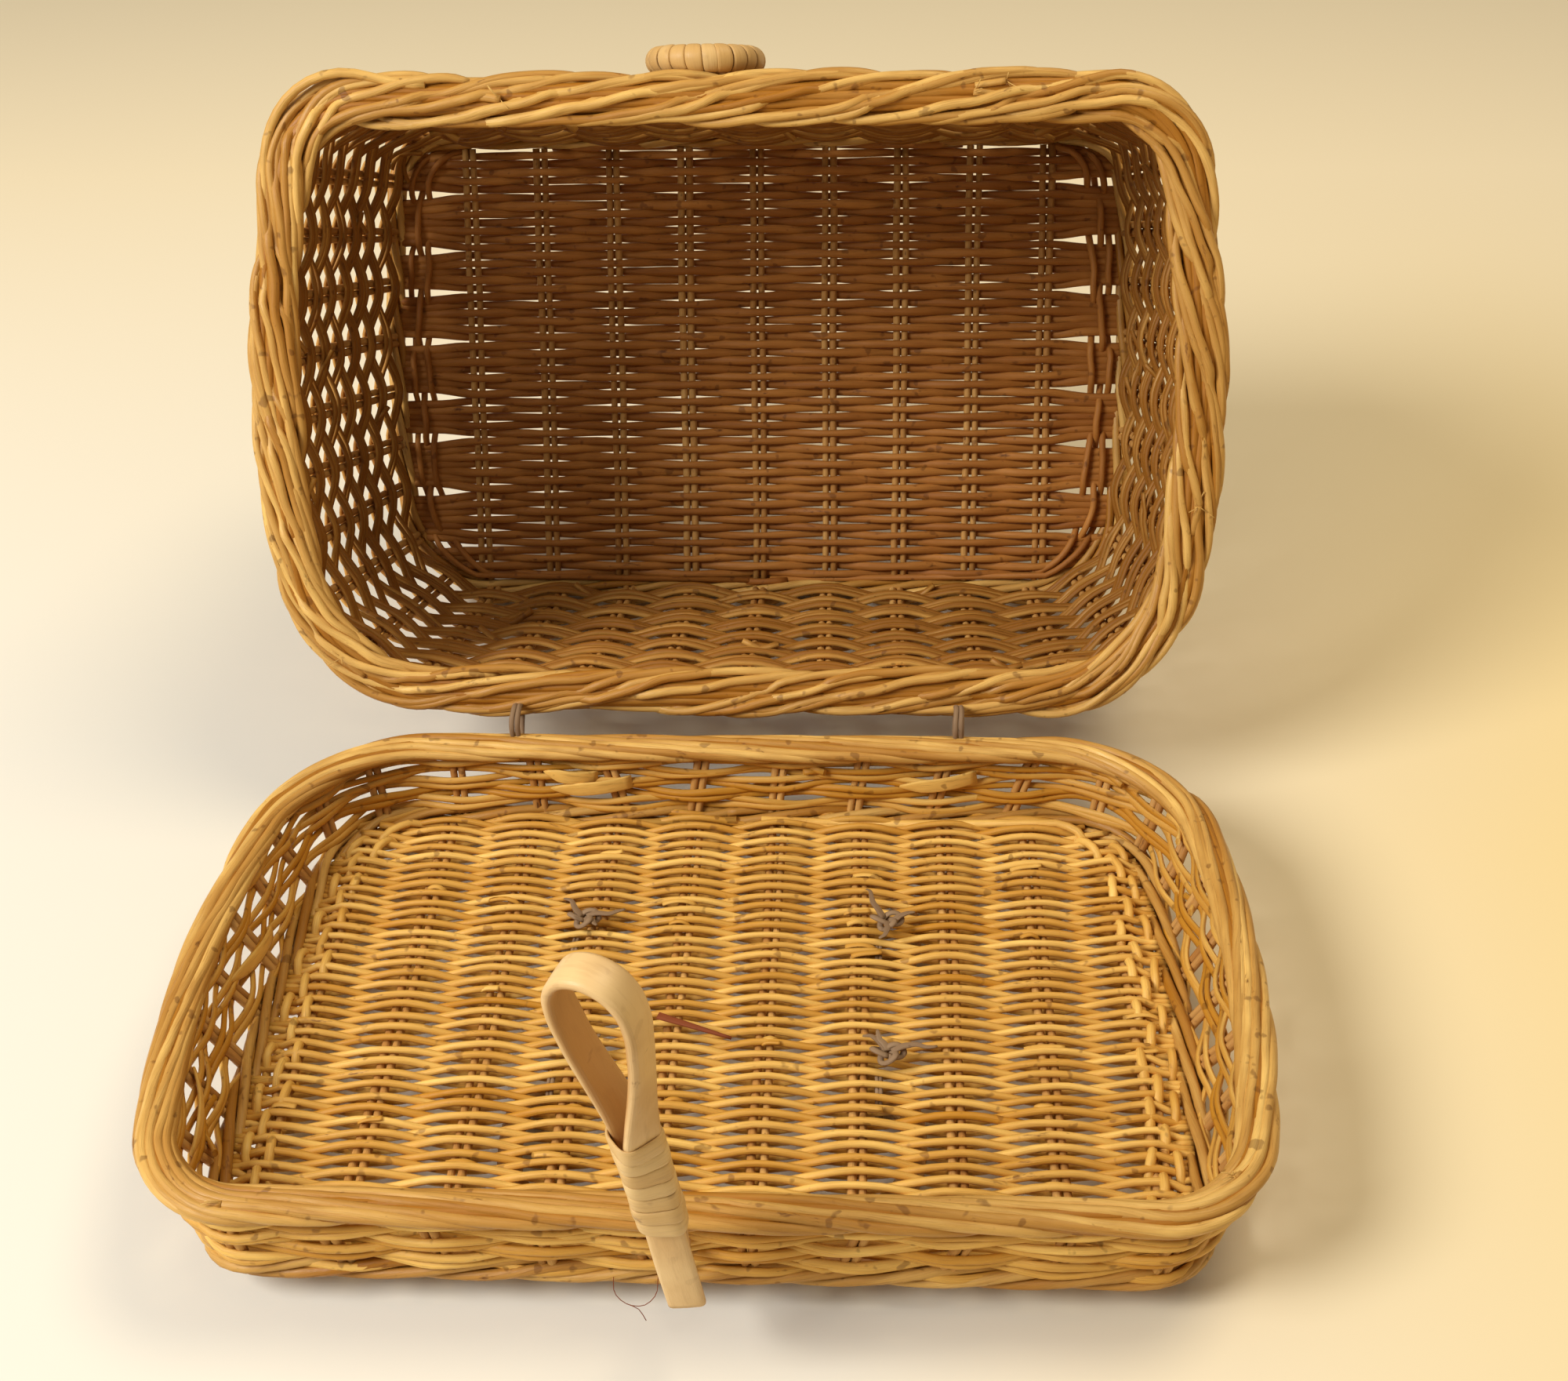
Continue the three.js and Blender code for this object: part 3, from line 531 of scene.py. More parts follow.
class Strands:
    """Gathers swept strands in one tray's frame and makes one piece of them."""

    def __init__(self, tray, seed):
        self.to_row = tray.to_row
        self.random = np.random.default_rng(seed)
        self.points, self.tones = [], []
        self.loops, self.sizes, self.uvs, self.smooth = [], [], [], []
        self.count = 0

    def sway(self, along, reach, wavelength):
        """A smooth random sway along a strand, of several waves."""
        swung = 0
        for octave in OCTAVES:
            start = self.random.uniform(0, math.tau)
            swung = swung + np.sin(along * math.tau * octave / wavelength + start) / octave
        return reach * swung / sum(1 / octave for octave in OCTAVES)

    def thickness(self, radius, shares):
        """A radius that differs a little from strand to strand."""
        return radius * self.random.uniform(*shares)

    def add(self, path, up, width, height=None, section=ROUND, tone=None, under=0.0):
        """One strand along a path, from half its width and height; its underside is toned darker by under:
        painted shade on the wall strands' inner sides, and on the hasp's strip partly its browner inner face
        and partly painted shade.
        """
        path = np.asarray(path, float)
        steps, sides = len(path), len(section)
        height = width if height is None else height
        tone = self.random.uniform() if tone is None else tone
        forwards = unit(np.gradient(path, axis=0))
        side = unit(np.cross(forwards, np.broadcast_to(up, path.shape)))
        rise = np.cross(side, forwards)
        across = side * np.broadcast_to(width, steps)[:, None]
        upwards = rise * np.broadcast_to(height, steps)[:, None]
        rings = path[:, None] + section[:, :1] * across[:, None] + section[:, 1:] * upwards[:, None]
        grid = self.count + np.arange(steps * sides).reshape(steps, sides)
        following = np.roll(grid, -1, axis=1)
        quads = np.stack([grid[:-1], grid[1:], following[1:], following[:-1]], axis=-1)
        around = np.arange(sides + 1) / sides
        along = distances(path) * mm + tone * TONE_SHIFT
        corners = np.stack(np.meshgrid(along, around, indexing="ij"), axis=-1)
        quad_uvs = np.stack([corners[:-1, :-1], corners[1:, :-1], corners[1:, 1:], corners[:-1, 1:]], axis=2)
        self.points.append(rings.reshape(-1, 3))
        # under darkens the tone of the strand's underside: painted shade where that side lies in shade
        self.tones.append(np.tile(tone + under * (section[:, 1] < 0), steps))
        self.loops += [quads.ravel(), grid[0], grid[-1][::-1]]
        self.uvs += [quad_uvs.reshape(-1, 2), corners[0, :-1], corners[-1, :-1][::-1]]
        self.sizes += [np.full((steps - 1) * sides, 4), np.array([sides, sides])]
        self.smooth += [np.ones((steps - 1) * sides, bool), np.zeros(2, bool)]
        self.count += steps * sides

    def add_loop(self, x, y, z, width, height=None, section=ROUND):
        """One strand wound round the middle of its own points."""
        path = np.column_stack([np.broadcast_to(x, len(y)), y, z])
        self.add(path, path - path.mean(axis=0), width, height, section)

    def piece(self, name, body, slot, look, replaces=()):
        """The gathered strands as one object that rides on a body."""
        points = self.to_row(np.concatenate(self.points))
        loops = np.concatenate(self.loops)
        sizes = np.concatenate(self.sizes)
        mesh = bpy.data.meshes.new(name)
        mesh.vertices.add(len(points))
        mesh.vertices.foreach_set("co", points.astype(np.float32).ravel())
        mesh.loops.add(len(loops))
        mesh.loops.foreach_set("vertex_index", loops.astype(np.int32))
        mesh.polygons.add(len(sizes))
        mesh.polygons.foreach_set("loop_start", (np.cumsum(sizes) - sizes).astype(np.int32))
        mesh.polygons.foreach_set("use_smooth", np.concatenate(self.smooth))
        uv_map = mesh.uv_layers.new(name="cane")
        uv_map.data.foreach_set("uv", np.concatenate(self.uvs).astype(np.float32).ravel())
        tones = mesh.attributes.new("tone", "FLOAT", "POINT")
        tones.data.foreach_set("value", np.concatenate(self.tones).astype(np.float32))
        mesh.update(calc_edges=True)
        mesh.validate()
        mesh.materials.append(looks[look])
        thing = linked(name, mesh)
        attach(thing, body)
        if replaces:
            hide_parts(*replaces)


def lid_to_row(points):
    return points * mm + hinge_place


def basket_to_row(points):
    """The basket's tray turned to face the lid and stood on its back edge."""
    c, s = math.cos(stand_angle), math.sin(stand_angle)
    turn = np.array([[-1, 0, 0], [0, -c, -s], [0, -s, c]])
    return points @ turn.T * mm + hinge_place


class Tray:
    """Sizes of one half, and its woven surfaces as functions of share and depth."""

    def __init__(self, foot, depth, border_width, border_height, columns, margin, end_stakes, bulge, to_row):
        self.depth = depth
        self.border_width = border_width
        self.border_height = border_height
        self.to_row = to_row
        self.bulge = bulge
        self.centre = -(HINGE_GAP + RIM["width"] / 2)
        self.foot_depth = depth + PANEL_THICKNESS + FOOT_REACH
        self.floor_z = -(depth + PANEL_THICKNESS / 2)
        self.wall_top = Plan(**RIM, inset=border_width / 2)
        self.wall_foot = Plan(**foot, inset=FOOT_WIDTH - WALL_THICKNESS / 2)
        self.foot_middle = Plan(**foot, inset=FOOT_WIDTH / 2)
        self.floor = Plan(**foot, inset=FOOT_WIDTH)
        self.perimeter = self.wall_top.perimeter
        outermost = foot["length"] / 2 - FOOT_WIDTH - margin
        self.columns = np.linspace(-outermost, outermost, columns)
        self.stakes = self.stake_shares(end_stakes)

    def stake_shares(self, end_stakes):
        """Stakes stand at the stick columns along the back and the front, and evenly round the ends."""
        back = self.columns[self.columns > -TINY] / self.perimeter
        ends = np.linspace(back[-1], 0.5 - back[-1], end_stakes + 2)[1:-1]
        half = np.concatenate([back, ends, 0.5 - back[::-1]])
        inner = half[(half > TINY) & (half < 0.5 - TINY)]
        return np.concatenate([half, 1 - inner[::-1]])

    def stake_index(self, shares):
        """Count of stakes passed at each share, running on past a full turn."""
        around = np.concatenate([self.stakes - 1, self.stakes, self.stakes + 1, self.stakes + 2])
        return np.interp(shares, around, np.arange(len(around)))

    def wall(self, shares, depths, out=0.0):
        """Points on the wall's middle surface, moved outwards by the given amounts."""
        level = np.clip((depths - self.border_height / 2) / (self.foot_depth - self.border_height / 2), 0, 1)
        level = np.broadcast_to(level, np.shape(shares))[:, None]
        flat = mix(self.wall_top.at(shares), self.wall_foot.at(shares), level)
        normals = self.wall_normals(shares)[:, :2]
        swell = 4 * self.bulge * level * (1 - level) + np.broadcast_to(out, np.shape(shares))[:, None]
        flat = flat + normals * swell
        return np.column_stack([flat[:, 0], flat[:, 1] + self.centre, -np.broadcast_to(depths, len(flat))])

    def wall_normals(self, shares):
        normals = self.wall_top.outwards(shares)
        return np.column_stack([normals, np.zeros(len(normals))])

    def round_plan(self, plan, shares, out, z):
        """Points at a distance outside one plan and at a height."""
        flat = plan.at(shares) + plan.outwards(shares) * np.broadcast_to(out, np.shape(shares))[:, None]
        return np.column_stack([flat[:, 0], flat[:, 1] + self.centre, np.broadcast_to(z, len(flat))])

    def border(self, shares, angles, swell, radius):
        """Points round the rim border's section, at angles from outside over the top, and their directions.

        The highest strands stay below the plane in which the two rims meet when the lid is shut.
        """
        middle_z = -self.border_height / 2
        below = self.border_height / 2 - radius
        above = (below - RIM_CLEARANCE) / HIGHEST_SWELL
        out = (self.border_width / 2 - radius) * swell * np.cos(angles)
        rise = np.sin(angles)
        z = middle_z + np.where(rise > 0, above, below) * swell * rise
        path = self.round_plan(self.wall_top, shares, out, z)
        beyond = self.round_plan(self.wall_top, shares, out * BEYOND, middle_z + (z - middle_z) * BEYOND)
        return path, beyond - path


lid = Tray(
    LID_FOOT, depth=26, border_width=11, border_height=9,
    columns=10, margin=8.8, end_stakes=9, bulge=1, to_row=lid_to_row,
)
basket = Tray(
    BASKET_FOOT, depth=142, border_width=14, border_height=11,
    columns=9, margin=27.2, end_stakes=10, bulge=3, to_row=basket_to_row,
)


def woven_floor(tray, strands, row_pitch, radius, lift, bunch, bunch_rows, sway, flat_share, pinch):
    """Weavers along X, each over and under the stick columns; towards the ends they gather in bunches."""
    rows = round(tray.floor.width / row_pitch) + 1
    column_pitch = tray.columns[1] - tray.columns[0]
    edge = tray.columns[-1]
    bunches = {side: bunch_middles(rows, bunch_rows, strands.random) for side in (-1, 1)}
    for row in range(rows):
        y = (row - (rows - 1) / 2) * row_pitch
        reach = tray.floor.reach(y) + 2 * radius
        x = np.linspace(-reach, reach, round(2 * reach / STRAND_STEP))
        phase = (x - tray.columns[0]) / column_pitch + row
        outside = ease((np.abs(x) - edge) / (GATHER_SHARE * (tray.floor.reach(0) - edge)))
        wave = np.cos(math.pi * phase) * (1 - outside)
        middle = np.where(x < 0, bunches[-1][row], bunches[1][row])
        pull = (middle - row) * row_pitch * bunch
        ys = y + pull * outside + strands.sway(x, sway * row_pitch, FLOOR_WAVELENGTH)
        thick = strands.thickness(radius, FLOOR_THICK_SHARES)
        zs = tray.floor_z + (lift + thick * flat_share) * wave + radius * strands.sway(x, *FLOOR_RISE_SWAY)
        pinched = 1 - pinch * np.abs(wave) ** PINCH_POWER
        width = thick * pinched * (1 + strands.sway(x, *FLOOR_WIDTH_SWAY))
        strands.add(np.column_stack([x, ys + tray.centre, zs]), (0, 0, 1), width, thick * flat_share)


def bunch_middles(rows, bunch_rows, random):
    """For every row the middle of the bunch that it gathers in; bunches differ by a row or two."""
    middles = np.zeros(rows)
    start = 0
    while start < rows:
        end = min(rows, start + bunch_rows + int(random.integers(-1, 2)))
        middles[start:end] = (start + end - 1) / 2
        start = end
    return middles


def edge_strands(tray, strands, bunch_length, radius, lift, offsets):
    """Strands along Y at both ends of a floor, over one bunch of weavers and under the next."""
    half = tray.floor.width / 2
    y = np.linspace(-half, half, round(2 * half / STRAND_STEP * EDGE_FINENESS))
    for side in (-1, 1):
        for number, offset in enumerate(offsets):
            phase = y / bunch_length + number + strands.sway(y, *EDGE_PHASE_SWAY)
            wave = np.tanh(EDGE_SHARPNESS * np.cos(math.pi * phase))
            x = side * (tray.floor.reach(y) - offset) + strands.sway(y, *EDGE_SIDE_SWAY)
            path = np.column_stack([x, y + tray.centre, tray.floor_z + wave * (lift + radius)])
            strands.add(path, (0, 0, 1), strands.thickness(radius, WALL_THICK_SHARES))


def stick_pairs(tray, strands, radius, spacing):
    """Straight sticks that the floor is woven on, side by side in each column."""
    half = tray.floor.width / 2
    y = np.linspace(-half, half, round(2 * half / STRAIGHT_STEP))
    for column in tray.columns:
        for side in (-0.5, 0.5):
            x = column + side * spacing + strands.sway(y, *STICK_SIDE_SWAY)
            z = tray.floor_z + strands.sway(y, *STICK_RISE_SWAY)
            path = np.column_stack([x, y + tray.centre, z])
            strands.add(path, (0, 0, 1), strands.thickness(radius, STICK_THICK_SHARES))


def loose_ends(tray, strands, count, radius, length):
    """Short ends of weavers that lie over a stick column, their tips a little raised."""
    random = strands.random
    top = -tray.depth - 0.3 * radius
    way = np.linspace(-0.5, 0.5, 9)
    for _ in range(count):
        x = random.choice(tray.columns) + LOOSE_END_SHIFT * random.uniform(-1, 1)
        y = random.uniform(-0.44, 0.44) * tray.floor.width
        turn = LOOSE_END_TURN * random.uniform(-1, 1)
        reach = length * random.uniform(*LOOSE_END_LENGTH_SHARES)
        raised = random.uniform(0.2, 1.6)
        rise = top - 5 * way**2 * radius + raised * np.maximum(0, way) ** 2 * 4 * random.choice((-1, 1))
        path = np.column_stack([x + way * reach, y + tray.centre + way * reach * turn, rise])
        width = strands.thickness(radius, LOOSE_END_WIDTH_SHARES)
        strands.add(path, (0, 0, 1), width, strands.thickness(radius, LOOSE_END_HEIGHT_SHARES))


def wall_stakes(tray, strands, radius, spacing, lean):
    """Upright stakes in pairs, from the foot up into the border."""
    depths = np.arange(tray.border_height / 2, tray.foot_depth - radius, STRAIGHT_STEP)
    depths = np.append(depths, tray.foot_depth - 2 * radius)
    for share in tray.stakes:
        tilt = strands.random.uniform(-lean, lean)
        for side in (-0.5, 0.5):
            way = tilt * (depths - depths.mean()) / tray.perimeter
            shares = share + side * spacing / tray.perimeter + way
            path = tray.wall(shares, depths, strands.sway(depths, *STAKE_SWAY))
            strands.add(path, tray.wall_normals(shares), strands.thickness(radius, STICK_THICK_SHARES))


def woven_wall(
    tray, strands, rows, per_row, radius, top, bottom, lift, flat_share, loose, tight, painted_inner_shade, sway,
):
    """Rows of several strands, in front of one stake and behind the next.

    Where they pass a stake, a row's strands stand loosely apart on the long sides and tightly at the ends.
    """
    pitch = (bottom - top) / rows
    random = strands.random
    for row in range(rows):
        flat = random.uniform() < flat_share
        count = max(1, per_row - 1) if flat else per_row
        between = pitch / (2 * radius * count)
        for number in range(count):
            start = random.uniform(0, 1)
            end = start + 1 + random.uniform(*OVERLAP_SHARES)
            shares = np.linspace(start, end, round(tray.perimeter / STRAND_STEP))
            ways = shares * tray.perimeter
            thick = strands.thickness(radius, WALL_THICK_SHARES)
            wave = np.cos(math.pi * (tray.stake_index(shares) + row))
            normals = tray.wall_normals(shares)
            at_end = ease(np.abs(normals[:, 0]) * 1.4 - 0.2)
            apart = mix(between, mix(loose, tight, at_end) * (FLAT_SPREAD if flat else 1), np.abs(wave))
            spread = (number - (count - 1) / 2) * 2 * radius * apart
            depths = top + (row + 0.5) * pitch + spread + strands.sway(ways, sway * radius, WALL_WAVELENGTH)
            inside = ease((ways - ways[0]) / TUCK_LENGTH) * ease((ways[-1] - ways) / TUCK_LENGTH)
            swing = (lift + thick) * wave + radius * strands.sway(ways, *WALL_OUT_SWAY)
            out = swing - (1 - inside) * TUCK_DEPTH_RADII * radius
            flatness = mix(FLAT_ON_SIDES if flat else 0.0, FLAT_AT_ENDS, at_end)
            width = thick * mix(1.0, FLATTEST[0], flatness) * (1 + strands.sway(ways, *WALL_WIDTH_SWAY))
            height = thick * mix(1.0, FLATTEST[1], flatness)
            # The strands' inner sides are toned darker: painted shade of the wall's inside
            strands.add(tray.wall(shares, depths, out), normals, width, height, under=painted_inner_shade)


def peeled_strips(tray, strands, places, width):
    """Flat peeled splints on the wall, each given by its share round the wall, depth, length and slant."""
    way = np.linspace(-0.5, 0.5, 12)
    for share, depth, length, slant in places:
        shares = share + way * length / tray.perimeter
        out = -(WALL_THICKNESS / 2 + PEELED_LIFT) * (1 - PEELED_CURL * way**2)
        path = tray.wall(shares, depth + slant * way * length, out)
        taper = np.minimum(1, 1.15 - 4.2 * np.maximum(0, way) ** 2)
        strands.add(path, tray.wall_normals(shares), width / 2 * taper, 0.5, section=STRIP, tone=0.1)


def twisted_foot(tray, strands, count, radius, turn_length, core):
    """Strands twisted round each other along the foot."""
    plan = tray.foot_middle
    turns = round(plan.perimeter / turn_length)
    shares = np.linspace(0, 1.004, round(plan.perimeter / STRAND_STEP))
    depth = tray.foot_depth - FOOT_HEIGHT / 2
    for number in range(count):
        angle = math.tau * (turns * shares + number / count)
        angle = angle + strands.sway(shares * plan.perimeter, *FOOT_SWAY)
        out = core * np.cos(angle)
        z = -depth + core * np.sin(angle) * (FOOT_HEIGHT / 2 - radius) / core
        path = tray.round_plan(plan, shares, out, z)
        up = tray.round_plan(plan, shares, out * 2, -depth + (z + depth) * 2) - path
        strands.add(path, up, strands.thickness(radius, FOOT_THICK_SHARES))


def running_strands(tray, strands, angles, radius, swell, tone=None):
    """Strands that run all the way along a border, inside its other strands or along its outer edge."""
    for angle in np.radians(angles):
        start = strands.random.uniform(0, 1)
        shares = np.linspace(start, start + 1.02, round(tray.perimeter / STRAND_STEP))
        ways = shares * tray.perimeter
        turned = angle + strands.sway(ways, *CORE_TURN_SWAY)
        path, up = tray.border(shares, turned, swell + strands.sway(ways, *CORE_SWELL_SWAY), radius)
        strands.add(path, up, strands.thickness(radius, STICK_THICK_SHARES), tone=tone)


def rolled_border(
    tray, strands, reach, per_stake, radius, direction, way_controls, slip, section_step, sway, unevenness,
):
    """Stake ends bent over at the rim's inner edge, laid across its top and tucked in outside.

    Each control gives a share of the way, the angle round the section in degrees and how far out it lies.
    """
    random = strands.random
    pitch = tray.perimeter / len(tray.stakes)
    ways, angles, swells = np.array(way_controls).T
    for share in tray.stakes:
        jitter = random.uniform(-0.12, 0.12)
        for number in range(per_stake):
            side = number - (per_stake - 1) / 2
            length = reach * pitch * random.uniform(1 - unevenness, 1 + unevenness)
            uneven = UNEVEN_TURN * unevenness * random.uniform(-1, 1)
            turned = np.radians(angles + side * section_step + uneven)
            lifted = swells + unevenness * random.uniform(-0.5, 0.5)
            scales = (length, tray.border_width / 2, LIFT_SCALE * radius)
            smooth = spaced(np.column_stack([ways, turned, lifted]) * scales, 0.8 * STRAND_STEP)
            along = smooth[:, 0] + side * slip
            shares = share + direction * (along + jitter * pitch) / tray.perimeter
            turned = smooth[:, 1] / scales[1] + strands.sway(along, sway, RIM_WAVELENGTH)
            path, up = tray.border(shares, turned, smooth[:, 2] / scales[2], radius)
            thick = strands.thickness(radius, RIM_THICK_SHARES) * (1 + strands.sway(along, *RIM_WIDTH_SWAY))
            from_tip = np.minimum(along - along[0], along[-1] - along) / TIP_LENGTH
            strands.add(path, up, thick * np.minimum(1, TIP_SHARE + (1 - TIP_SHARE) * from_tip))


def cut_ends(tray, strands, shares, radius, length):
    """Cut ends that stand out of a border, with a few frayed fibres."""
    random = strands.random
    way = np.linspace(0, 1, 7)
    fibre_way = np.linspace(0, 1, 6)
    for share in shares:
        angle = math.radians(random.uniform(*CUT_END_ANGLES)) + way * random.uniform(-0.3, 0.3)
        run = share + way * length * random.choice((-1, 1)) / tray.perimeter
        path, up = tray.border(run, angle, 0.95 + 0.38 * way, radius)
        strands.add(path, up, radius * random.uniform(0.75, 1.0), radius * random.uniform(0.6, 0.9))
        for _ in range(FRAYED_FIBRES):
            ahead = unit(random.uniform(-1, 1, 3) + [0, 0, 0.6])
            steps = path[-1] + np.outer(fibre_way**1.3, ahead) * FIBRE_LENGTH
            bent = steps + np.outer(fibre_way**2, random.uniform(-1.5, 1.5, 3))
            bent[:, 2] = np.minimum(bent[:, 2], -RIM_CLEARANCE)
            strands.add(bent, (0.3, 0.2, 1), FIBRE_RADIUS, tone=0.1)


def arching_strand(tray, strands, start, end, angle, rise, radius):
    """One strand that leaves a border, arches freely round a corner and comes back to it."""
    way = np.linspace(0, 1, round((end - start) * tray.perimeter / STRAND_STEP))
    swell = ARCH_SWELL + rise * np.sin(math.pi * way) ** 2
    path, up = tray.border(mix(start, end, way), math.radians(angle), swell, radius)
    strands.add(path, up, radius, tone=0.2)


def build_sticks(tray, body, name, seed, radius):
    """The pairs of sticks in one half's floor."""
    sticks = Strands(tray, seed)
    stick_pairs(tray, sticks, radius, spacing=3.1)
    names = [f"{body}_stick_pair_{number:02d}" for number in range(1, len(tray.columns) + 1)]
    sticks.piece(name, body, "stick_cane", "stick_cane", names)


def build_foot(tray, body, seed):
    """The twisted foot border of one half."""
    foot = Strands(tray, seed)
    twisted_foot(tray, foot, count=4, radius=1.5, turn_length=92, core=2.2)
    foot.piece(f"{body}_foot_twist", body, "border_cane", "border_cane", [f"{body}_foot_border"])


def build_lid():
    """Floor, walls and borders of the lid."""
    weave = Strands(lid, seed=11)
    woven_floor(
        lid, weave, row_pitch=2.2, radius=1.1, lift=1.35, bunch=0.17, bunch_rows=4, sway=0.2,
        flat_share=1.0, pinch=0.08,
    )
    edge_strands(lid, weave, 9, radius=1.4, lift=1.3, offsets=(2, 6, 9.2))
    loose_ends(lid, weave, count=34, radius=0.8, length=8)
    weave.piece("lid_floor_weave", "lid", "woven_cane", "golden_cane", ["lid_top_panel"])
    build_sticks(lid, "lid", "lid_floor_sticks", seed=12, radius=1.2)
    walls = Strands(lid, seed=13)
    # The inner sides of the wall strands get painted shade
    woven_wall(
        lid, walls, rows=6, per_row=2, radius=1.12, top=7, bottom=30, lift=0.6,
        flat_share=0.3, loose=1.0, tight=1.0, painted_inner_shade=0.5, sway=1.1,
    )
    peeled_strips(lid, walls, LID_SPLINTS, width=5)
    walls.piece("lid_wall_weave", "lid", "woven_cane", "golden_cane", ["lid_wall"])
    stakes = Strands(lid, seed=14)
    wall_stakes(lid, stakes, radius=1.25, spacing=2.6, lean=0.25)
    stakes.piece("lid_wall_stakes", "lid", "stick_cane", "stick_cane")
    rim = Strands(lid, seed=15)
    # The running strands inside the border are toned deep (tone 1.3): painted shade in the gaps between the
    # border's strands
    running_strands(lid, rim, range(0, 360, 45), radius=1.6, swell=0.7, tone=1.3)
    rolled_border(
        lid, rim, reach=7, per_stake=1, radius=1.5, direction=1, way_controls=ROLL_WAY, slip=0.0,
        section_step=0.0, sway=0.1, unevenness=0.1,
    )
    cut_ends(lid, rim, (0.36, 0.665), radius=1.3, length=8)
    rim.piece("lid_rim_rolled", "lid", "border_cane", "border_cane", ["lid_rim_border"])
    build_foot(lid, "lid", seed=16)


def build_fibres():
    """A reddish splint on the lid's floor and a loose hair under its front edge."""
    splint = Strands(lid, seed=17)
    way = np.linspace(0, 1, 9)
    start, end = SPLINT_ENDS
    z = SPLINT_LIFT - lid.depth + SPLINT_RISE * (1 - way)
    path = np.column_stack([mix(start[0], end[0], way), mix(start[1], end[1], way), z])
    splint.add(path, (0, 0, 1), SPLINT_HALF * (1 - 0.7 * way), 0.4, section=STRIP)
    splint.piece("lid_splint", "lid", "woven_cane", "red_splint")
    hair = Strands(lid, seed=18)
    for way in HAIR_WAYS:
        hair.add(spaced(way, HAIR_STEP), (0, 1, 0.3), HAIR_RADIUS)
    hair.piece("lid_hair", "lid", "tie_cane", "red_splint")


def build_basket():
    """Base, walls and borders of the basket."""
    weave = Strands(basket, seed=21)
    woven_floor(
        basket, weave, row_pitch=3.0, radius=1.66, lift=0.8, bunch=0.21, bunch_rows=6,
        sway=0.08, flat_share=0.68, pinch=0.2,
    )
    edge_strands(basket, weave, 18, radius=1.2, lift=1.2, offsets=(3, 5.8, 9))
    # The base gets the darker look: painted shade of the basket's inside
    weave.piece("basket_base_weave", "basket", "woven_cane", "painted_shade_base_cane", ["basket_base_panel"])
    build_sticks(basket, "basket", "basket_base_sticks", seed=22, radius=1.3)
    walls = Strands(basket, seed=23)
    # The inner sides of the wall strands get painted shade
    woven_wall(
        basket, walls, rows=15, per_row=3, radius=1.2, top=11, bottom=141.4, lift=1.3,
        flat_share=0.25, loose=1.22, tight=1.04, painted_inner_shade=0.8, sway=0.45,
    )
    # The walls get the darker look: painted shade of the basket's inside
    walls.piece("basket_wall_weave", "basket", "woven_cane", "painted_shade_wall_cane", ["basket_wall"])
    stakes = Strands(basket, seed=24)
    wall_stakes(basket, stakes, radius=1.3, spacing=2.9, lean=0.03)
    stakes.piece("basket_wall_stakes", "basket", "stick_cane", "stick_cane")
    rim = Strands(basket, seed=25)
    # The running strands inside the border are toned deep (tone 1.3): painted shade in the gaps between the
    # border's strands
    running_strands(basket, rim, range(0, 360, 40), radius=1.6, swell=0.6, tone=1.3)
    running_strands(basket, rim, (-20, -60, -100, -140), radius=1.5, swell=0.98)
    rolled_border(
        basket, rim, reach=4.6, per_stake=2, radius=1.42, direction=-1, way_controls=PLAIT_WAY,
        slip=6, section_step=33.0, sway=0.16, unevenness=0.22,
    )
    cut_ends(basket, rim, (0.405, 0.415, 0.59, 0.86, 0.2), radius=1.35, length=9)
    arching_strand(basket, rim, 0.606, 0.682, angle=38, rise=1.1, radius=1.45)
    rim.piece("basket_rim_rolled", "basket", "border_cane", "border_cane", ["basket_rim_border"])
    build_foot(basket, "basket", seed=26)


def hasp_places(along, across):
    """Points of the hasp and its sideways directions, from its way along the neck and its offset across."""
    axis = unit([-math.tan(HASP_LEAN_LEFT), -math.tan(HASP_LEAN_OUT), 1])
    out = unit(np.array([0, -1, 0]) + axis * axis[1])
    wide = np.cross(axis, out)
    turn = (HASP_TWIST * ease((along - HASP_TWIST_START) / (HASP_TWIST_END - HASP_TWIST_START)))[:, None]
    outwards = out * np.cos(turn) + wide * np.sin(turn)
    sideways = wide * np.cos(turn) - out * np.sin(turn)
    return np.array(HASP_ORIGIN) + axis * along[:, None] + outwards * across[:, None], sideways


def leg_offset(along):
    """Distance of each leg of the bent strip from the hasp's middle line."""
    share = np.clip((along - HASP_NECK) / (HASP_LENGTH - HASP_NECK), 0, 1)
    return HASP_OFFSET * (1 - share) + HASP_BULGE * np.interp(share, LOOP_WAY_SHARES, LOOP_WIDTH_SHARES)


def hasp_path():
    """Middle line and sideways directions of the bent strip, from its tail to its end in the lid's wall."""
    along = mix(HASP_NECK, HASP_LENGTH, np.array(LOOP_WAY_SHARES))
    across = leg_offset(along)
    pivot = -HASP_PIVOT_DEPTH / math.cos(HASP_LEAN_OUT)
    start = [-HASP_TAIL, -HASP_TAIL / 2, 0]
    end = [HASP_NECK / 2, 0, pivot + HASP_BEND]
    along = np.concatenate([start, along, along[-2::-1], end])
    across = np.concatenate([np.full(3, HASP_OFFSET), across, -across[-2::-1], np.full(3, -HASP_OFFSET)])
    flat = spaced(np.column_stack([along, across]), HASP_STEPS[0])
    centres, sideways = hasp_places(flat[:, 0], flat[:, 1])
    turn_in, _ = hasp_places(np.array([pivot]), np.array([-HASP_OFFSET - HASP_BEND]))
    turn_in[0, 0] -= TURN_IN_SHIFT
    inside = turn_in * (1, 0, 1) + (0, own_box("hasp_loop")[1][1], 0)
    level = [[1, 0, 0]]
    places = np.concatenate([centres, turn_in, inside])
    controls = np.column_stack([places, np.concatenate([sideways, level, level])])
    path = spaced(controls, HASP_STEPS[1])
    return path[:, :3], path[:, 3:]


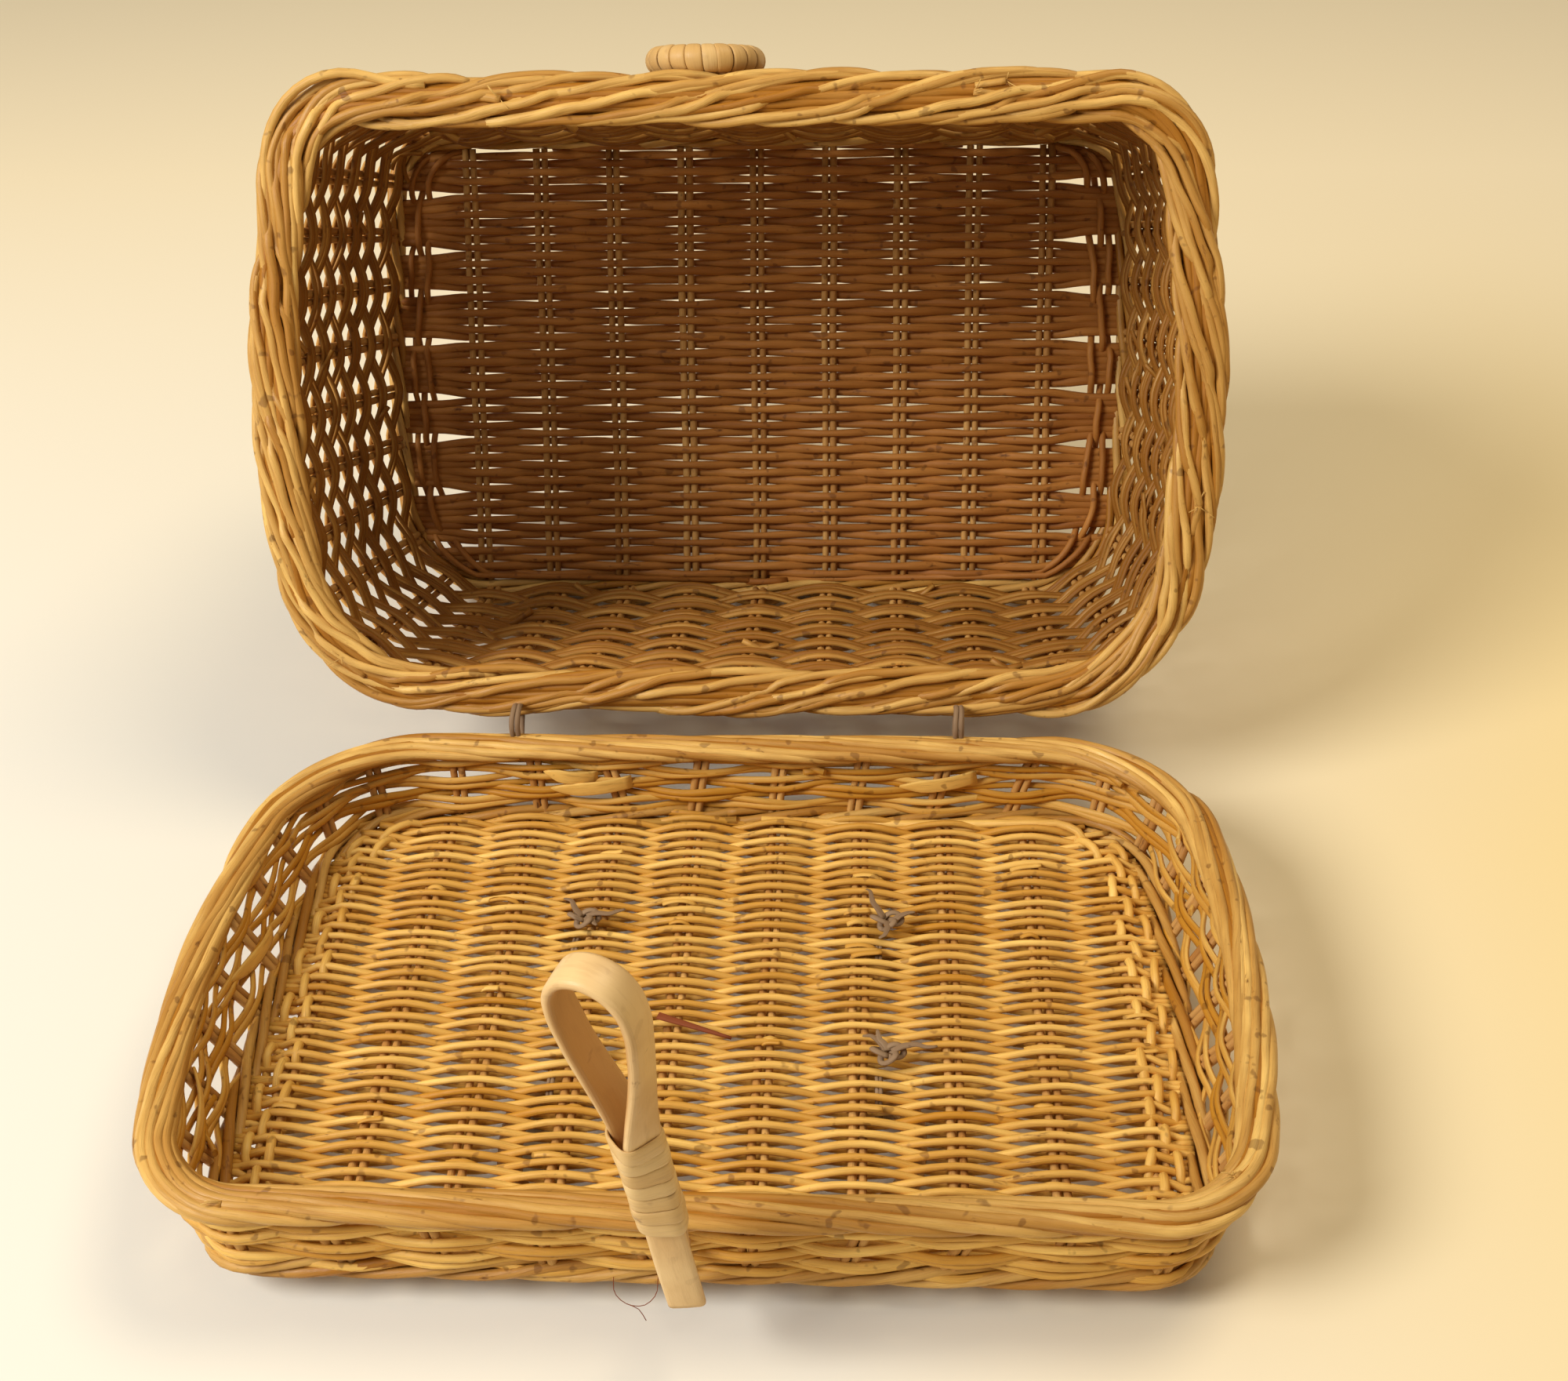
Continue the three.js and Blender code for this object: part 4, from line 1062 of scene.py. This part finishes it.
def build_hasp():
    """One strip bent double, its inner end turned in through the lid's wall, and the strip wound round it."""
    strip = Strands(lid, seed=31)
    path, sideways = hasp_path()
    up = np.cross(sideways, unit(np.gradient(path, axis=0)))
    ways = np.linspace(0, 1, len(path))
    narrowed = mix(1.0, TURN_IN_WIDTH_SHARE, ease((ways - TURN_IN_START_SHARE) / TURN_IN_EASE_SHARE))
    width = STRIP_WIDTH / 2 * (1 + strip.sway(ways, *HASP_WIDTH_SWAY)) * narrowed
    # The strip's underside is toned darker: partly the split cane's browner inner face, partly painted shade
    strip.add(path, up, width, STRIP_THICKNESS / 2, section=STRIP, tone=0.15, under=0.85)
    strip.piece("hasp_strip", "hasp", "cane_strip", "bent_strip", ["hasp_loop"])
    binding = Strands(lid, seed=32)
    pitch = (BINDING_END - BINDING_START) / BINDING_TURNS
    share = np.linspace(0, 1, BINDING_STEPS)
    deep_share, wide_share = squarish(np.linspace(*BINDING_ANGLES, BINDING_STEPS), TIE_SQUARENESS)
    for turn in range(BINDING_TURNS):
        along = BINDING_START + pitch * (turn + BINDING_ADVANCE_SHARES[0] + share * BINDING_ADVANCE_SHARES[1])
        grow = mix(*BINDING_GROWTH, share) + binding.random.uniform(-0.15, 0.15)
        deep = np.maximum(BINDING_DEEP, leg_offset(along) + STRIP_THICKNESS / 2 + BINDING_CLEARANCE) + grow
        level = np.zeros(len(along))
        centres, sideways = hasp_places(along, level)
        axis = unit(hasp_places(along + 1, level)[0] - centres)
        wide = sideways * (wide_share * (BINDING_WIDE + grow))[:, None]
        path = centres + wide - np.cross(sideways, axis) * (deep_share * deep)[:, None]
        width = pitch / 2 * (1 + binding.sway(share, *BINDING_WIDTH_SWAY))
        binding.add(path, path - centres, width, 0.5, section=WRAP)
    binding.piece("hasp_wraps", "hasp", "binding_cane", "binding_strip", ["hasp_binding"])


def build_ring():
    """A cane hoop and the wraps round it, hung from a tie through the basket's front."""
    low, high = own_box("ring_core")
    middle = np.array([-(low[0] + high[0]) / 2, RING_Y, RING_Z])
    angles = np.linspace(0, math.tau, RING_STEPS)
    circle = np.column_stack([np.cos(angles), np.zeros(RING_STEPS), np.sin(angles)])
    hoop = Strands(basket, seed=41)
    hoop.add(middle + circle * RING_MIDDLE, circle, RING_SECTION / 2 - HOOP_CUT)
    hoop.piece("ring_hoop", "ring", "cane_strip", "bent_strip", ["ring_core"])
    build_ring_wraps(middle)
    tie = Strands(basket, seed=43)
    wall_y = basket.wall(np.array([0.5]), np.array([RING_MIDDLE - RING_Z]))[0, 1]
    inner = wall_y + WALL_THICKNESS / 2 + RING_TIE_INSIDE
    outer = RING_Y - RING_SECTION / 2 - RING_TIE_OUTSIDE
    across, upwards = squarish(np.linspace(0, math.tau, TIE_STEPS), RING_TIE_SQUARENESS)
    y = (inner + outer) / 2 + (inner - outer) / 2 * across
    z = RING_Z - RING_MIDDLE + RING_TIE_HALF_HIGH * upwards
    for shift in RING_TIE_SHIFTS:
        tie.add_loop(middle[0] + shift, y, z, *TIE_HALVES, section=STRIP)
    tie.piece("ring_tie_turns", "basket", "tie_cane", "old_tie", ["ring_tie"])


def build_ring_wraps(middle):
    """The strip wound round the hoop, one turn after the other."""
    wraps = Strands(basket, seed=42)
    random = wraps.random
    turned = np.linspace(*WRAP_ANGLES, WRAP_STEPS)
    share = np.linspace(0, 1, WRAP_STEPS)
    pitch = math.tau / WRAP_COUNT
    for number in range(WRAP_COUNT):
        angle = (number + random.uniform(-0.08, 0.08)) * pitch + (share - 0.5) * pitch * WRAP_SLANT_SHARE
        radius = RING_SECTION / 2 - WRAP_CUT + mix(*WRAP_GROWTH, share) + random.uniform(-0.1, 0.1)
        radial = np.column_stack([np.cos(angle), np.zeros(WRAP_STEPS), np.sin(angle)])
        normal = radial * np.cos(turned)[:, None] + np.array([0, 1, 0]) * np.sin(turned)[:, None]
        path = middle + radial * RING_MIDDLE + normal * radius[:, None]
        width = pitch / 2 * (RING_MIDDLE + radius * np.cos(turned)) * random.uniform(*WRAP_WIDTH_SHARES)
        wraps.add(path, normal, width, 0.55, section=WRAP, tone=random.uniform(*WRAP_TONES))
    wraps.piece("ring_wraps", "ring", "binding_cane", "binding_strip", ["ring_wrap"])


def build_hinge_ties():
    """Two turns of cane round the hinge axis at either side, through both back borders."""
    angles = np.linspace(0, math.tau, TIE_STEPS)
    for name in ("hinge_tie_left", "hinge_tie_right"):
        low, high = own_box(name)
        ties = Strands(lid, seed=51)
        for shift in HINGE_TIE_SHIFTS:
            radius = HINGE_TIE_RADIUS + ties.sway(angles, *TIE_RADIUS_SWAY)
            x = (low[0] + high[0]) / 2 + shift + ties.sway(angles, *TIE_SIDE_SWAY)
            ties.add_loop(x, radius * np.cos(angles), radius * np.sin(angles), 0.85, 0.6)
        ties.piece(f"{name}_turns", "basket", "tie_cane", "old_tie", [name])


def knot(strands, place, tails):
    """A loose knot of flat cane with splayed tails, each given by its direction, length and rise."""
    angles = np.linspace(0, math.tau, 49)
    x = np.sin(angles) + 2 * np.sin(2 * angles)
    y = np.cos(angles) - 2 * np.cos(2 * angles)
    z = -np.sin(3 * angles) * 0.9 + 1.0
    path = place + np.column_stack([x * 1.25, y * 0.9, z]) * KNOT_SIZE
    strands.add(path, (0, 0, 1), *TIE_HALVES, tone=0.4)
    way = np.linspace(0, 1, 14)
    taper = (1.1 - way) ** 0.5
    for direction, length, rise in tails:
        angle = direction + strands.sway(way, *TAIL_SWAY)
        steps = np.column_stack([np.cos(angle), np.sin(angle), rise * (1 - 1.2 * way)])
        path = place + [0, 0, KNOT_SIZE] + np.cumsum(steps, axis=0) * length / len(way)
        strands.add(path, (0.2, 0, 1), 1.1 * taper, 0.4 * taper, section=STRIP)


def handle_way(pivot, side):
    """Half of a handle's middle line, from the middle of the grip round two bends to its end at a tie."""
    end = pivot + side * HANDLE_REACH
    turns = np.linspace(0, math.pi / 2, 6)
    across, upwards = 1 - np.sin(turns), 1 - np.cos(turns)
    grip_x = np.linspace(0, HANDLE_HALF - HANDLE_CORNER, 6)[:-1]
    grip = np.column_stack([grip_x, np.full(len(grip_x), end)])
    corner = np.column_stack([HANDLE_HALF - HANDLE_CORNER * across, end - side * HANDLE_CORNER * upwards])
    bend = np.column_stack([HANDLE_HALF - HANDLE_BEND * upwards, pivot + side * HANDLE_BEND * across])
    return np.concatenate([grip, corner, bend, [[HANDLE_STUB, pivot]]])


def build_handles():
    """Two drop handles flat under the lid, and the knotted ties that hold them."""
    knots = Strands(lid, seed=61)
    across, upwards = squarish(np.linspace(0, math.tau, HANDLE_TIE_STEPS), TIE_SQUARENESS)
    for number, (side_x, side_y, shift, tails) in enumerate(HANDLE_TIES, 1):
        x = side_x * HANDLE_TIE_X
        y = lid.centre + side_y * HANDLE_PIVOT
        knot(knots, np.array([x + shift + KNOT_SHIFT[0], y + KNOT_SHIFT[1], KNOT_RISE - lid.depth]), tails)
        bottom = own_box(f"handle_tie_{number}")[0][2] + TIE_RADIUS
        half_high = (-lid.depth - HANDLE_TIE_TOP - bottom) / 2
        for turn in HANDLE_TIE_SHIFTS:
            z = bottom + half_high + half_high * upwards
            knots.add_loop(x + turn, y + HANDLE_TIE_HALF * across, z, 0.6)
    knots.piece("handle_knots", "lid", "tie_cane", "old_tie", [f"handle_tie_{n}" for n in range(1, 5)])
    for body, side in (("back_handle", 1), ("front_handle", -1)):
        rod = Strands(lid, seed=62)
        right = handle_way(lid.centre + side * HANDLE_PIVOT, side)
        flat = spaced(np.concatenate([right[:0:-1] * (-1, 1), right]), HANDLE_STEP)
        ways = np.arange(len(flat)) * HANDLE_STEP
        thick = HANDLE_ROD / 2 * (0.97 + rod.sway(ways, *HANDLE_SWAY))
        thick[:2] *= HANDLE_TIP_SHARES
        thick[-2:] *= HANDLE_TIP_SHARES[::-1]
        path = np.column_stack([flat, np.full(len(flat), HANDLE_Z)])
        rod.add(path, (0, 0, 1), thick, section=ROD)
        rod.piece(f"{body}_rod", body, "handle_cane", "handle_cane", [body])


def add_camera():
    """Camera at the photograph's viewing angle."""
    forwards = Vector((
        math.sin(CAMERA_YAW) * math.cos(CAMERA_DOWN),
        math.cos(CAMERA_YAW) * math.cos(CAMERA_DOWN),
        -math.sin(CAMERA_DOWN),
    ))
    level = Vector((math.cos(CAMERA_YAW), -math.sin(CAMERA_YAW), 0))
    rise = level.cross(forwards)
    right = level * math.cos(CAMERA_ROLL) + rise * math.sin(CAMERA_ROLL)
    up = rise * math.cos(CAMERA_ROLL) - level * math.sin(CAMERA_ROLL)
    data = bpy.data.cameras.new("camera")
    data.sensor_width = SENSOR_WIDTH
    data.lens = SENSOR_WIDTH * FOCAL_PIXELS / PHOTO_WIDTH
    camera = linked("camera", data)
    turn = Matrix((right, up, -forwards)).transposed().to_4x4()
    place = Vector(hinge_place) + Vector(CAMERA_FROM_HINGE)
    camera.matrix_world = Matrix.Translation(place) @ turn
    bpy.context.scene.camera = camera


def add_floor():
    """Pale paper, with painted light: brighter and warmer far behind, and a yellow warm light to the right.
    """
    mesh = bpy.data.meshes.new("floor")
    corners = [(x * FLOOR_HALF, y * FLOOR_HALF, 0) for x, y in ((-1, -1), (1, -1), (1, 1), (-1, 1))]
    mesh.from_pydata(corners, [], [(0, 1, 2, 3)])
    floor = linked("floor", mesh)
    material = bpy.data.materials.new("floor_paper")
    look = Nodes(material)
    split = look.nodes.new("ShaderNodeSeparateXYZ")
    look.feed(split, {0: look.place()})
    paper = look.blend(look.noise(look.place(), scale=1.3), *PAPER_COLOURS)
    # Painted light: the paper turns brighter and warmer far behind
    paper = look.blend(look.remap(split.outputs["Y"], 0.05, 0.60), paper, PAINTED_FAR_LIGHT)
    # Painted warm light: yellow to the right, fading towards the back
    rightwards = look.remap(split.outputs["X"], 0.03, 0.34)
    forwards = look.remap(split.outputs["Y"], 0.0, 0.6, 1.0, 0.0)
    painted_warm_light = look.combine("MULTIPLY", rightwards, forwards)
    look.feed(look.nodes["Principled BSDF"], {
        "Base Color": look.blend(painted_warm_light, paper, PAINTED_WARM_LIGHT),
        "Roughness": 0.9,
        "Specular IOR Level": 0.1,
    })
    mesh.materials.append(material)


def add_world():
    """Ambient light, and a pale backdrop that the camera alone sees."""
    world = bpy.data.worlds.new("world")
    bpy.context.scene.world = world
    look = Nodes(world)
    ambient = look.feed(look.nodes["Background"], {"Color": AMBIENT_COLOUR, "Strength": AMBIENT_STRENGTH})
    backdrop = look.feed(look.nodes.new("ShaderNodeBackground"), {"Color": BACKDROP_COLOUR})
    seen = look.nodes.new("ShaderNodeLightPath").outputs["Is Camera Ray"]
    mixed = look.feed(look.nodes.new("ShaderNodeMixShader"), {0: seen, 1: ambient, 2: backdrop})
    look.feed(look.nodes["World Output"], {"Surface": mixed})


def add_lights():
    for name, place, power, colour in LAMPS:
        data = bpy.data.lights.new(name, "AREA")
        data.shape = "DISK"
        data.size = LAMP_SIZE
        data.energy = power
        data.color = colour
        lamp = linked(name, data)
        lamp.location = place
        lamp.rotation_euler = (Vector(LAMP_TARGET) - Vector(place)).to_track_quat("-Z", "Y").to_euler()


bpy.context.scene.view_settings.view_transform = "Standard"
add_camera()
add_floor()
add_world()
add_lights()
build_lid()
build_fibres()
build_basket()
build_hasp()
build_ring()
build_hinge_ties()
build_handles()
